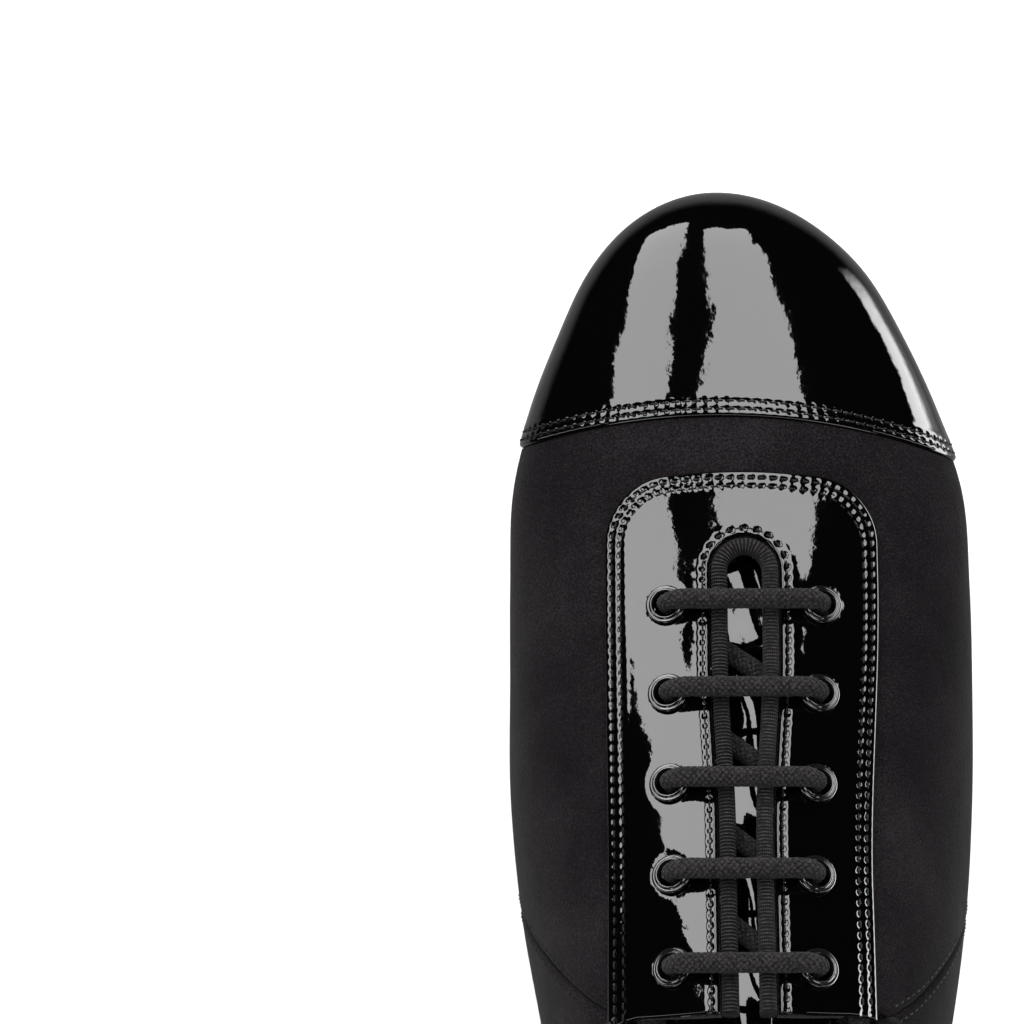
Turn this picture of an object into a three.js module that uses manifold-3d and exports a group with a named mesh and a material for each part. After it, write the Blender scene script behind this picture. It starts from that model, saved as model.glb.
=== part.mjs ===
// A right-foot lace-up tap shoe: patent toe cap, lace panel and heel counter on a stretch-fabric upper,
// a leather sole with a stacked heel, and screwed-on toe and heel tap plates.
//
// Frame: millimetres, +Z up, +Y towards the toe, +X towards the little toe. The shoe stands on Z = 0.
// A place on the shoe is given by s, the distance behind the toe's tip, and by v, once round its section.

import * as THREE from "three";
import { LoftGeometry } from "three/addons/geometries/LoftGeometry.js";
import { mergeVertices } from "three/addons/utils/BufferGeometryUtils.js";
import Module from "manifold-3d";

const wasm = await Module();
wasm.setup();

// ---------------------------------------------------------------- driving dimensions

const LENGTH = 270; // the upper, from toe to heel
const TIP_Y = 135.35; // where the toe's tip lies, so that the whole shoe is centred
const GAP = 0.3; // left between pieces that touch

const TAP = 3.2; // tap plates
const SOUND_BOARD = 2.0;
const SOLE = 4.0;
const TOP_LIFT = 4.7;
const HEEL_RISE = 17; // how much higher the heel seat is than the tread
const TREAD_Z = TAP + GAP + SOUND_BOARD + GAP + SOLE + GAP; // underside of the upper at the tread
const TOE_SPRING = 6;
const SPRING_FROM = 40; // the toe lifts in front of this
const NOSE_Z = 21;

const FABRIC = 1.8; // thickness of the stretch fabric
const PATENT = 1.3; // thickness of a patent panel
const CAP_LENGTH = 46.5; // toe cap, where it is shortest
const CAP_MIDDLE = -4.8; // x of that place
const CAP_SWEEP = 0.0037; // how its seam sweeps back, per mm squared from there

const EYELET_ROWS = 5;
const FIRST_ROW = 85.3;
const ROW_PITCH = 17.65;
const PANEL_FRONT = 58;
const PANEL_END = 163.5;
const LACE_R = 2.1;
const BINDING = 3.3; // width of the tape round the throat

const SCREW_PITCH = 1.4;
const SCREW_LENGTH = 9;

// ---------------------------------------------------------------- materials

const paint = (color, roughness, metalness = 0) =>
  new THREE.MeshStandardMaterial({ color, roughness, metalness });
const patent = paint(0x09090a, 0.08);
const fabric = paint(0x1b191b, 0.9);
const lining = paint(0x2a2828, 0.85);
const tape = paint(0x211f21, 0.8);
const cordage = paint(0x1f1d1e, 0.9);
const enamel = paint(0x0b0b0c, 0.12, 0.3);
const leather = paint(0x17140f, 0.45);
const fibre = paint(0x6b4a2e, 0.8);
const stiffener = paint(0xb9ad98, 0.9);
const foam = paint(0x141414, 0.7);
const rubber = paint(0x121212, 0.65);
const stack = paint(0x0d0d0d, 0.35);
const aluminium = paint(0xb9bcc0, 0.32, 1);
const steel = paint(0x9a9da1, 0.3, 1);
const plastic = paint(0x0c0c0c, 0.25);

// ---------------------------------------------------------------- the shape of the shoe

const mix = (a, b, t) => a + (b - a) * t;
const clamp = (t) => Math.min(1, Math.max(0, t));
const ease = (a, b, x) => {
  const t = clamp((x - a) / (b - a));
  return t * t * (3 - 2 * t);
};
const behind = (s) => TIP_Y - s; // the y of a place s behind the toe's tip

// tau runs from 0 at the toe to 1 at the heel, as an angle does, so both ends come out round.
const tauAt = (s) => Math.acos(1 - 2 * clamp(s / LENGTH)) / Math.PI;
const sAt = (tau) => (LENGTH * (1 - Math.cos(Math.PI * tau))) / 2;

// Sections: s, half width to the medial side, half width to the lateral side, x of the ridge,
// height of the ridge, height of the widest place, roundness of the crown.
const SECTIONS = [
  [0, 0, 0, -5, NOSE_Z, NOSE_Z, 2],
  [6, 17.2, 18.3, -4.6, 32.5, 22.6, 2.05],
  [16, 27, 28.7, -3.8, 38.3, 23.4, 2.15],
  [30, 34.7, 36.1, -2.8, 42.6, 24, 2.2],
  [45, 41.3, 42.1, -1.9, 46.4, 24.5, 2.2],
  [62, 46.4, 47.1, -1, 51.4, 25, 2.15],
  [82, 47.7, 47.9, -0.3, 58.4, 25.5, 2.1],
  [100, 48, 48, 0, 66, 26, 2.1],
  [125, 47.9, 47.8, 0, 77.8, 28.5, 2],
  [150, 45.5, 46, 0, 90.4, 33, 1.95],
  [175, 41, 42, 0, 101.5, 39, 1.9],
  [200, 36.8, 36.8, -0.5, 108.5, 45, 1.85],
  [225, 34, 32.7, -1, 111, 48, 1.8],
  [248, 30.3, 28.6, -1.5, 110, 49, 1.8],
  [262, 20.3, 19.4, -1.8, 108, 49, 1.8],
  [270, 0, 0, -2, 106, 49, 1.8],
];
const KNOTS = SECTIONS.map((row) => tauAt(row[0]));

// A smooth curve through the sections' values in one column.
function along(column, tau) {
  const y = (i) => SECTIONS[i][column];
  const last = KNOTS.length - 1;
  let i = 0;
  while (i < last - 1 && tau > KNOTS[i + 1]) i++;
  const slope = (k) => {
    const a = Math.max(0, k - 1);
    const b = Math.min(last, k + 1);
    return (y(b) - y(a)) / (KNOTS[b] - KNOTS[a]);
  };
  const width = KNOTS[i + 1] - KNOTS[i];
  const t = (tau - KNOTS[i]) / width;
  const t2 = t * t;
  const t3 = t2 * t;
  return (
    (2 * t3 - 3 * t2 + 1) * y(i) +
    (t3 - 2 * t2 + t) * width * slope(i) +
    (3 * t2 - 2 * t3) * y(i + 1) +
    (t3 - t2) * width * slope(i + 1)
  );
}

// Height of the sole's top face: toe spring in front, heel pitch behind.
function soleLine(s) {
  const spring = TOE_SPRING * clamp((SPRING_FROM - s) / SPRING_FROM) ** 2;
  return TREAD_Z + spring + HEEL_RISE * ease(112, 205, s);
}

function section(tau) {
  const s = sAt(tau);
  const roundUnder = Math.sin((clamp(tau / tauAt(6)) * Math.PI) / 2);
  return {
    s,
    medial: along(1, tau),
    lateral: along(2, tau),
    ridge: along(3, tau),
    top: along(4, tau),
    wide: along(5, tau),
    power: along(6, tau),
    low: mix(NOSE_Z, soleLine(s), roundUnder),
  };
}

const CROWN = 0.6; // v from 0 to here goes over the top, from the lateral side to the medial one
const TURN = 0.35; // share of the rest that each lower corner takes
const turnOf = (side) => (side * 8) / (side + 8);
const heelLean = (s, z) => 0.0045 * (z - 50) ** 2 * ease(195, LENGTH, s);

function bare(tau, v, grow = 0) {
  const f = section(tau);
  let x;
  let z;
  if (v <= CROWN) {
    const angle = (Math.PI * v) / CROWN;
    const c = Math.cos(angle);
    const side = c >= 0 ? f.lateral : f.medial;
    x = f.ridge + side * Math.sign(c) * Math.abs(c) ** (2 / f.power);
    z = f.wide + (f.top - f.wide) * Math.max(0, Math.sin(angle)) ** (2 / f.power);
  } else {
    const round = (v - CROWN) / (1 - CROWN);
    const sign = round < 0.5 ? -1 : 1;
    const side = (sign < 0 ? f.medial : f.lateral) + grow;
    const turn = Math.max(turnOf(side - grow) + grow, 0.25 * turnOf(side - grow));
    const depth = f.wide - f.low;
    const under = depth + grow * clamp(depth / 5);
    const share = (sign < 0 ? round : 1 - round) / TURN;
    const corner = (Math.min(1, share) * Math.PI) / 2;
    const flat = clamp((share - 1) / (0.5 / TURN - 1));
    x = f.ridge + sign * ((side - turn) * (1 - flat) + turn * Math.cos(corner));
    z = f.wide - under * Math.sin(corner);
  }
  return new THREE.Vector3(x, behind(f.s) + heelLean(f.s, z), z);
}

const EPS = 1e-4;
function outward(tau, v) {
  const t = Math.min(1 - 2 * EPS, Math.max(2 * EPS, tau));
  const lengthwise = bare(t + EPS, v).sub(bare(t - EPS, v));
  const lo = v - EPS < 0 ? 0 : v - EPS;
  const hi = v < CROWN && v + EPS > CROWN ? CROWN : v + EPS;
  const around = bare(t, hi).sub(bare(t, lo));
  return around.cross(lengthwise).normalize();
}

// A point on the upper, rise outside the fabric's outer face, or inside it where rise is negative.
function skin(tau, v, rise) {
  if (v <= CROWN) return bare(tau, v).addScaledVector(outward(tau, v), rise);
  const widest = v < (1 + CROWN) / 2 ? CROWN : 0;
  const n = outward(tau, widest);
  const p = bare(tau, v, rise * Math.abs(n.x));
  p.y += rise * n.y;
  return p;
}

// v of the place on the crown that lies x across, on the section at s.
function vAcross(x, s) {
  const f = section(tauAt(s));
  const side = x >= f.ridge ? f.lateral : f.medial;
  const share = clamp(Math.abs(x - f.ridge) / side) ** (f.power / 2);
  return (CROWN * Math.acos(x >= f.ridge ? share : -share)) / Math.PI;
}
const crown = (x, s, rise) => skin(tauAt(s), vAcross(x, s), rise);
const crownNormal = (x, s) => outward(tauAt(s), vAcross(x, s));

// ---------------------------------------------------------------- solids

// The closed mesh of a geometry, as a solid that can be cut and joined.
function solid(geometry) {
  const plain = geometry.index ? geometry.toNonIndexed() : geometry.clone();
  plain.deleteAttribute("normal");
  plain.deleteAttribute("uv");
  const merged = mergeVertices(plain, 1e-4);
  const index = merged.index.array;
  const triangles = [];
  for (let i = 0; i < index.length; i += 3) {
    const [a, b, c] = index.slice(i, i + 3);
    if (a !== b && b !== c && c !== a) triangles.push(a, b, c);
  }
  const vertProperties = merged.attributes.position.array;
  const build = (triVerts) => new wasm.Manifold(new wasm.Mesh({ numProp: 3, vertProperties, triVerts }));
  const made = build(new Uint32Array(triangles));
  return made.volume() > 0 ? made : build(new Uint32Array(triangles).reverse());
}

const shoe = new THREE.Group();

function add(name, body, material) {
  let geometry = body;
  if (!body.isBufferGeometry) {
    const raw = body.simplify(0.05).getMesh();
    geometry = new THREE.BufferGeometry();
    geometry.setAttribute("position", new THREE.BufferAttribute(raw.vertProperties, 3));
    geometry.setIndex(new THREE.BufferAttribute(raw.triVerts, 1));
  }
  const mesh = new THREE.Mesh(geometry, material);
  mesh.name = name;
  shoe.add(mesh);
  return mesh;
}

const CORNER_STEPS = 3;
const CROWN_STEPS = 18;
const RING = [
  ...Array.from({ length: CROWN_STEPS }, (_, j) => (CROWN * j) / CROWN_STEPS),
  ...Array.from({ length: CORNER_STEPS + 1 }, (_, j) => CROWN + ((1 - CROWN) * TURN * j) / CORNER_STEPS),
  ...Array.from({ length: CORNER_STEPS }, (_, j) => 1 - (1 - CROWN) * TURN * (1 - j / CORNER_STEPS)),
];
const LENGTH_STEPS = 32;

// The whole closed form of the upper, at one rise. Both ends close on themselves, side to side.
function form(rise) {
  const rings = Array.from({ length: LENGTH_STEPS + 1 }, (_, i) => {
    const ring = RING.map((v) => skin(i / LENGTH_STEPS, v, rise));
    if (i > 0 && i < LENGTH_STEPS) return ring;
    const opposite = (j) => ring[(CROWN_STEPS - j + ring.length) % ring.length];
    return ring.map((p, j) => p.clone().add(opposite(j)).multiplyScalar(0.5));
  });
  return solid(new LoftGeometry(rings, { capStart: false, capEnd: false }));
}
const shell = (outer, inner) => form(outer).subtract(form(inner));

// A prism standing on an outline of [x, s] pairs. From OVER up, it cuts the crown alone.
const OVER = 33;
function plan(outline, low = -20, high = 160) {
  const shape = new THREE.Shape(outline.map(([x, s]) => new THREE.Vector2(x, behind(s))));
  const made = new THREE.ExtrudeGeometry(shape, { depth: high - low, bevelEnabled: false });
  return solid(made.translate(0, 0, low));
}

// A prism across the shoe, through an outline of [s, z] pairs, from x = low to x = high.
function across(outline, low = -80, high = 80) {
  const shape = new THREE.Shape(outline.map(([s, z]) => new THREE.Vector2(behind(s), z)));
  const made = new THREE.ExtrudeGeometry(shape, { depth: high - low, bevelEnabled: false });
  const turned = new THREE.Matrix4().makeBasis(
    new THREE.Vector3(0, 1, 0),
    new THREE.Vector3(0, 0, 1),
    new THREE.Vector3(1, 0, 0),
  );
  return solid(made.applyMatrix4(turned).translate(low, 0, 0));
}

// The sole's edge in plan: medial at side -1 and lateral at side 1, drawn in by inset.
const SOLE_FRONT = 5;
const SOLE_BACK = 264.5;
function edge(tau, side, inset) {
  const at = (t) => {
    const f = section(t);
    const waist = Math.exp(-(((f.s - 168) / 32) ** 2)) * (side < 0 ? 0.16 : 0.07);
    const share = mix(0.87, 0.895, ease(150, 210, f.s)) * (1 - waist);
    const half = (side < 0 ? f.medial : f.lateral) * share;
    return new THREE.Vector2(f.ridge + side * half, mix(SOLE_FRONT, SOLE_BACK, f.s / LENGTH));
  };
  const t = Math.min(1 - 2 * EPS, Math.max(2 * EPS, tau));
  const run = at(t + EPS).sub(at(t - EPS));
  const inward = new THREE.Vector2(-run.y, run.x).normalize().multiplyScalar(side);
  return at(tau).addScaledVector(inward, inset);
}

// A layer that follows the sole line, between two heights above it, inside the sole's edge.
function layer({ inset, low, high, from = 0.02, to = 0.98, steps = 22 }) {
  const rings = Array.from({ length: steps + 1 }, (_, i) => {
    const tau = mix(from, to, i / steps);
    const corner = (side, height) => {
      const p = edge(tau, side, inset);
      return new THREE.Vector3(p.x, behind(p.y), soleLine(p.y) + height);
    };
    return [corner(1, low), corner(1, high), corner(-1, high), corner(-1, low)];
  });
  return solid(new LoftGeometry(rings, { capStart: true, capEnd: true }));
}

// An upright heel piece: the sole's edge behind the breast, drawn in by one inset above and another below.
const BREAST = 206;
const BREAST_HOLLOW = 5;
function heelPiece(low, high, insetLow, insetHigh, breast = BREAST) {
  const steps = 12;
  const ring = (inset, z) => {
    const start = tauAt(breast);
    const half = (side) =>
      Array.from({ length: steps + 1 }, (_, i) => edge(mix(start, 0.98, i / steps), side, inset));
    const points = [...half(1), ...half(-1).reverse()];
    const hollow = new THREE.Vector2(edge(start, 1, inset).x / 2 + edge(start, -1, inset).x / 2, 0);
    hollow.y = edge(start, 1, inset).y + BREAST_HOLLOW;
    points.push(hollow);
    return points.reverse().map((p) => new THREE.Vector3(p.x, behind(p.y), z));
  };
  const rings = [ring(insetLow, low), ring(insetHigh, high)];
  return solid(new LoftGeometry(rings, { capStart: true, capEnd: true }));
}

// A round tube along a smooth curve, through the points. radiusAt gives its radius at a place.
function tube(points, radiusAt, sides = 8) {
  const curve = new THREE.CatmullRomCurve3(points, false, "centripetal");
  const count = Math.round(1.6 * (points.length - 1));
  let across = new THREE.Vector3(0, 0, 1);
  const rings = Array.from({ length: count + 1 }, (_, i) => {
    const tangent = curve.getTangent(i / count);
    if (Math.abs(across.dot(tangent)) > 0.95) across.set(1, 0, 0);
    across = across.clone().addScaledVector(tangent, -across.dot(tangent)).normalize();
    const other = tangent.clone().cross(across);
    const centre = curve.getPoint(i / count);
    const radius = radiusAt(centre);
    return Array.from({ length: sides }, (_, j) => {
      const angle = (2 * Math.PI * j) / sides;
      return centre
        .clone()
        .addScaledVector(across, radius * Math.cos(angle))
        .addScaledVector(other, radius * Math.sin(angle));
    });
  });
  return solid(new LoftGeometry(rings, { capStart: true, capEnd: true }));
}

const UP = new THREE.Vector3(0, 1, 0);
function turnedTo(geometry, axis, place) {
  const turn = new THREE.Quaternion().setFromUnitVectors(UP, axis);
  return geometry.clone().applyQuaternion(turn).translate(place.x, place.y, place.z);
}

// A drill of one radius through place, along axis.
const drill = (place, axis, radius, depth = 14, sides = 12) =>
  solid(turnedTo(new THREE.CylinderGeometry(radius, radius, depth, sides), axis, place));

// ---------------------------------------------------------------- outlines on the upper

const capLine = (x, back = 0) => CAP_LENGTH + back + CAP_SWEEP * (x - CAP_MIDDLE) ** 2;

// The panel and its slot lie a little to the medial side, more so behind the ball. far is how much there.
const shifted = (outline, far) => outline.map(([x, s]) => [x + far * mix(0.45, 1, ease(80, 140, s)), s]);
const PANEL_SHIFT = -2.2;
const SLOT_SHIFT = -1.3;
const EYELET_SHIFT = -1.8;
const steps = (count, make) => Array.from({ length: count + 1 }, (_, i) => make(i / count));

// Everything in front of the toe cap's seam.
const inFront = (back) =>
  plan([[-70, -20], ...steps(14, (t) => [mix(-70, 70, t), capLine(mix(-70, 70, t), back)]), [70, -20]]);

const panelHalf = (s) => mix(27.3, 25.6, ease(80, 140, s));

// The lace panel's outline, drawn in by inset; its open end runs to s = end.
function panelOutline(inset, end) {
  const corner = 14 - inset / 2;
  const front = PANEL_FRONT + inset;
  const side = (s) => panelHalf(s) - inset;
  const half = [
    ...steps(3, (t) => [mix(0, side(front) - corner, t), front + 0.9 * t * t]),
    ...steps(5, (t) => {
      const angle = ((t + 0.1) / 1.1) * (Math.PI / 2);
      const x = side(front) - corner + corner * Math.sin(angle);
      return [x, front + 0.9 + corner * (1 - Math.cos(angle))];
    }),
    ...steps(4, (t) => {
      const s = mix(front + corner + 4, end, t);
      return [side(s), s];
    }),
  ];
  const other = half.slice(1).map(([x, s]) => [-x, s]);
  return shifted([...half.reverse(), ...other], PANEL_SHIFT);
}

// The slot down the panel: a round-ended opening, half as wide at the ball as at its front.
const SLOT_FRONT = 78.2;
const slotHalf = (s) => mix(6.8, 5.3, ease(95, 130, s));
function slotOutline(inset, end) {
  const arch = steps(8, (t) => {
    const angle = Math.PI * (t - 0.5);
    const radius = 6.8 - inset;
    return [radius * Math.sin(angle), SLOT_FRONT - radius * Math.cos(angle)];
  });
  const right = steps(5, (t) => [slotHalf(mix(90, end, t)) - inset, mix(90, end, t)]);
  const left = right.map(([x, s]) => [-x, s]).reverse();
  return shifted([...arch, ...right, ...left], SLOT_SHIFT);
}

// The top line: from the end of the lace panel, down beside the ankle and up to the heel's back.
const TOP_LINE = new THREE.SplineCurve(
  [
    [163.5, 101],
    [165.5, 89],
    [172, 80],
    [184, 73.5],
    [202, 70],
    [224, 71],
    [246, 76.5],
    [262, 83],
    [276, 87],
  ].map(([s, z]) => new THREE.Vector2(s, z)),
);

// Everything above the top line, or above a line that lies drop inside it.
function aboveTopLine(drop) {
  const line = steps(18, (t) => {
    const p = TOP_LINE.getPoint(t);
    const run = TOP_LINE.getTangent(t);
    return [p.x + drop * run.y, p.y - drop * run.x];
  });
  const first = line[0];
  return across([[first[0], 170], ...line, [line[18][0] + 30, line[18][1]], [line[18][0] + 30, 170]]);
}

// Behind the side seam, where the quarters begin.
const behindSeam = (gap) =>
  across([
    [139 + gap, -20],
    [142 + gap, 12],
    [151 + gap, 45],
    [163 + gap, 75],
    [172 + gap, 104],
    [175 + gap, 150],
    [320, 150],
    [320, -20],
  ]);

// The heel counter's patch, seen from the side.
const counterPatch = (inset) =>
  across([
    [222 + inset, -20],
    [224 + inset, 30],
    [231 + inset, 48],
    [243 + inset, 63],
    [252 + inset, 74],
    [255 + inset, 110],
    [330, 110],
    [330, -20],
  ]);

const HEEL_MIDDLE = -1.8;
const beside = (side, gap) =>
  across(
    [
      [120, -20],
      [120, 150],
      [330, 150],
      [330, -20],
    ],
    side > 0 ? HEEL_MIDDLE + gap : -90,
    side > 0 ? 90 : HEEL_MIDDLE - gap,
  );

// ---------------------------------------------------------------- the upper

const belowUpper = layer({ inset: -25, low: -60, high: 0.2, from: 0.03, to: 0.97 });
const belowBed = layer({ inset: -25, low: -60, high: 7.3, from: 0.03, to: 0.97 });
const footprint = layer({ inset: 8.5, low: -4, high: 2.6, from: 0.02, to: 0.98 });
const ankle = aboveTopLine(0);
const ankleBound = aboveTopLine(3.5 + GAP);
const panelPlan = plan(panelOutline(0, 190), OVER);

const eyelets = [];
for (let row = 0; row < EYELET_ROWS; row++) {
  for (const side of [1, -1]) {
    const s = FIRST_ROW + row * ROW_PITCH;
    const half = mix(15.4, 13.7, clamp(row / 3));
    const x = shifted([[side * half, s]], EYELET_SHIFT)[0][0];
    const name = `eyelet_${side > 0 ? "lateral" : "medial"}_${row + 1}`;
    eyelets.push({ name, row, side, x, s, place: crown(x, s, 0), axis: crownNormal(x, s) });
  }
}
const eyeletHoles = wasm.Manifold.union(eyelets.map((e) => drill(e.place, e.axis, 3.25, 14, 10)));

const cap = shell(0.8, -1.2).intersect(inFront(0)).subtract(belowUpper).subtract(footprint);
add("toe_cap", cap, patent);
const puffZone = inFront(-8.6);
add("toe_puff", shell(-1.5, -2.4).intersect(puffZone).subtract(belowBed), stiffener);

const fabricBody = shell(0, -FABRIC)
  .subtract(inFront(GAP))
  .subtract(belowUpper)
  .subtract(footprint)
  .subtract(ankleBound)
  .subtract(plan(panelOutline(5.5, 190), OVER));
add("vamp", fabricBody.subtract(behindSeam(0)), fabric);
const quarters = fabricBody.intersect(behindSeam(GAP));
add("quarter_lateral", quarters.intersect(beside(1, GAP / 2)), fabric);
add("quarter_medial", quarters.intersect(beside(-1, GAP / 2)), fabric);

const counter = shell(PATENT + GAP, GAP).intersect(counterPatch(0)).subtract(belowUpper).subtract(ankleBound);
add("heel_counter", counter, patent);
const backHalf = across([[205, -20], [212, 60], [330, 64], [330, -20]]);
add("counter_stiffener", shell(-2.1, -3).intersect(backHalf).subtract(belowBed), stiffener);
const liner = shell(-3.3, -4.5)
  .intersect(behindSeam(2))
  .subtract(belowBed)
  .subtract(ankleBound)
  .subtract(plan([[-27, 100], [27, 100], [27, 176], [-27, 176]], OVER));
add("quarter_lining", liner, lining);
const collar = shell(PATENT + GAP + 0.3, -5)
  .intersect(aboveTopLine(3.5))
  .subtract(ankle)
  .intersect(behindSeam(-20))
  .subtract(plan(panelOutline(-GAP, 190), OVER));
add("top_line_binding", collar, tape);

// ---------------------------------------------------------------- lace panel and eyelets

const panel = shell(PATENT + GAP, GAP)
  .intersect(panelPlan)
  .subtract(plan(slotOutline(-GAP, 190), OVER))
  .subtract(ankle)
  .subtract(eyeletHoles);
add("lace_panel", panel, patent);
const stay = shell(0, -FABRIC)
  .intersect(plan(panelOutline(5.5 + GAP, 190), OVER))
  .subtract(plan(slotOutline(-GAP, 190), OVER))
  .subtract(ankle)
  .subtract(eyeletHoles);
add("eyelet_stay", stay, lining);
const throat = shell(2.3, -2.2)
  .intersect(plan(slotOutline(0, 190), OVER))
  .subtract(plan(slotOutline(BINDING, 200), OVER))
  .subtract(ankle);
add("throat_binding", throat, tape);

const eyeletProfile = [
  [2.6, -2.7],
  [3.9, -2.7],
  [3.8, -2.3],
  [2.95, -2.3],
  [2.95, 1.8],
  [4.0, 1.8],
  [3.6, 2.7],
  [2.8, 2.7],
  [2.6, -2.7],
].map(([r, h]) => new THREE.Vector2(r, h));
const eyeletShape = new THREE.LatheGeometry(eyeletProfile, 12);
for (const e of eyelets) {
  const mesh = add(e.name, eyeletShape, enamel);
  mesh.position.copy(e.place);
  mesh.quaternion.setFromUnitVectors(UP, e.axis);
}

// ---------------------------------------------------------------- tongue

const TONGUE_FRONT = 64;
const TONGUE_END = 186;
const TONGUE_RISE = -7.8;
const TONGUE_THICK = 2.5;
const tongueHalf = (s) => mix(21, 23.5, ease(70, 150, s)) * (1 - 0.35 * ease(160, TONGUE_END, s));
const tongueRings = steps(14, (t) => {
  const s = mix(TONGUE_FRONT, TONGUE_END, t);
  const half = tongueHalf(s);
  const over = steps(8, (u) => crown(mix(half, -half, u), s, TONGUE_RISE));
  const under = steps(8, (u) => crown(mix(-half, half, u), s, TONGUE_RISE - TONGUE_THICK));
  return [...over, ...under];
});
add("tongue", solid(new LoftGeometry(tongueRings, { capStart: true, capEnd: true })), patent);

// ---------------------------------------------------------------- laces

const LACE_OVER = 5.3; // rise of a lace's middle where it lies across the panel
const LACE_UNDER = -5.2; // and under it
const eyelet = (row, side) => eyelets.find((e) => e.row === row && e.side === side);
const through = (e, rise) => e.place.clone().addScaledVector(e.axis, rise);

// The lace is squeezed where it goes through an eyelet.
function laceRadius(place) {
  const near = Math.min(...eyelets.map((e) => e.place.distanceTo(place)));
  return mix(1.55, LACE_R, ease(3, 6.2, near));
}

// Down or up through one eyelet.
function pass(e, down) {
  const points = [3.3, 0.2, -3.1].map((rise) => through(e, rise));
  return down ? points : points.reverse();
}
// Across the shoe between two eyelets, on top of the panel or under it.
function span(from, to, rise) {
  return [0.11, 0.27, 0.5, 0.73, 0.89].map((t) => crown(mix(from.x, to.x, t), mix(from.s, to.s, t), rise));
}

// One end runs forward under the lateral side of the panel, from the throat to the first eyelet.
const SIDE_RUN = [
  [21, 159],
  [21.6, 156],
  [22.6, 150],
  [23.2, 138],
  [23.6, 115],
  [23.2, 92],
  [18.6, 86.9],
];
const lacePath = SIDE_RUN.map(([x, s]) => crown(x, s, LACE_UNDER));
// Then a bar lies across each row, and under the panel it slants to the next row's lateral eyelet.
for (let row = 0; row < EYELET_ROWS; row++) {
  const [up, down] = [eyelet(row, 1), eyelet(row, -1)];
  lacePath.push(...pass(up, false), ...span(up, down, LACE_OVER), ...pass(down, true));
  if (row < EYELET_ROWS - 1) lacePath.push(...span(down, eyelet(row + 1, 1), LACE_UNDER));
}
lacePath.push(crown(-18, 157.3, LACE_UNDER), crown(-20.6, 159.9, LACE_UNDER));
add("lace", tube(lacePath, laceRadius), cordage);

// Both ends are tucked in: they drop past the tongue's edges and lie back along the sock. Each place
// is [x, s, z] on the lateral side.
const TUCKED = [
  [20.3, 164.2, 83.8],
  [21, 167.6, 82.1],
  [21.9, 170.2, 78],
  [23, 171.4, 72],
  [23.1, 171.8, 64],
  [23.1, 171.9, 55],
  [23, 172.3, 47],
  [22.6, 174.2, 40],
  [22, 178.6, 35.2],
  [21, 185, 35],
  [19.6, 193, 35.8],
  [17.8, 202, 36.5],
  [16, 212, 36.7],
  [14.8, 222, 36.7],
  [14.2, 232, 36.7],
];
const AGLET_LENGTH = 20;
for (const [name, side] of [["lateral", 1], ["medial", -1]]) {
  const start = crown(side * 20.9, 161.3, LACE_UNDER);
  const end = [start, ...TUCKED.map(([x, s, z]) => new THREE.Vector3(side * x, behind(s), z))];
  add(`lace_end_${name}`, tube(end, () => LACE_R), cordage);
  const last = end[end.length - 1];
  const way = last.clone().sub(end[end.length - 2]).normalize();
  const tip = [GAP, AGLET_LENGTH / 2, AGLET_LENGTH].map((d) => last.clone().addScaledVector(way, d));
  add(`aglet_${name}`, tube(tip, () => 1.6), plastic);
}

// ---------------------------------------------------------------- sole, heel and taps

const TAP_END = 60;
const toeScrews = [
  [-4, 19],
  [-26.5, 47],
  [25, 48.5],
];
const heelScrews = [
  [-1.8, 251],
  [-21, 224],
  [17.5, 224],
];
const heelNails = [
  [-15, 232],
  [11.5, 232],
  [-12, 250],
  [8.5, 250],
];
const HEEL_SCREW = [-1.8, 236];
const slopeAt = (s) => (soleLine(s + 0.5) - soleLine(s - 0.5)) / 1;

// Where a screw starts, on the underside of its plate, and the way it goes in.
function screwAt([x, s], heel) {
  const axis = new THREE.Vector3(0, heel ? 0 : slopeAt(s), 1).normalize();
  const z = heel ? 0 : soleLine(s) - TREAD_Z;
  return { place: new THREE.Vector3(x, behind(s), z), axis };
}
const plates = [
  ["toe", toeScrews.map((at) => screwAt(at, false))],
  ["heel", heelScrews.map((at) => screwAt(at, true))],
];
const holes = (list, radius, depth) => wasm.Manifold.union(list.map((q) => drill(q.place, q.axis, radius, depth)));
const allScrews = plates.flatMap(([, list]) => list);
const pilot = holes(allScrews, 2.0, 2 * (SCREW_LENGTH + 1.2));

const heelFixings = [...heelNails, HEEL_SCREW].map(([x, s]) => new THREE.Vector3(x, behind(s), 0));
const fixingHoles = wasm.Manifold.union([
  ...heelFixings.slice(0, 4).map((p) => drill(p.clone().setZ(24), new THREE.Vector3(0, 1e-9, 1), 1.3, 24)),
  drill(heelFixings[4].clone().setZ(24), new THREE.Vector3(0, 1e-9, 1), 2.5, 28),
]);
const headSeat = drill(heelFixings[4].clone().setZ(30.2), new THREE.Vector3(0, 1e-9, 1), 4.4, 3);

const outsole = layer({ inset: 0, low: -0.1 - SOLE, high: -0.1, steps: 30 });
add("outsole", outsole.subtract(pilot).subtract(fixingHoles), leather);
const filler = layer({ inset: 9, low: 0.2, high: 1.7, from: 0.1, to: 0.44, steps: 8 });
add("bottom_filler", filler, fibre);
const board = layer({ inset: 2.2, low: 2.9, high: 4.6, from: 0.05, to: 0.95, steps: 20 });
add("insole_board", board.subtract(fixingHoles).subtract(headSeat), fibre);
add("sock", layer({ inset: 2.4, low: 4.9, high: 7, from: 0.05, to: 0.95, steps: 20 }), foam);

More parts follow.
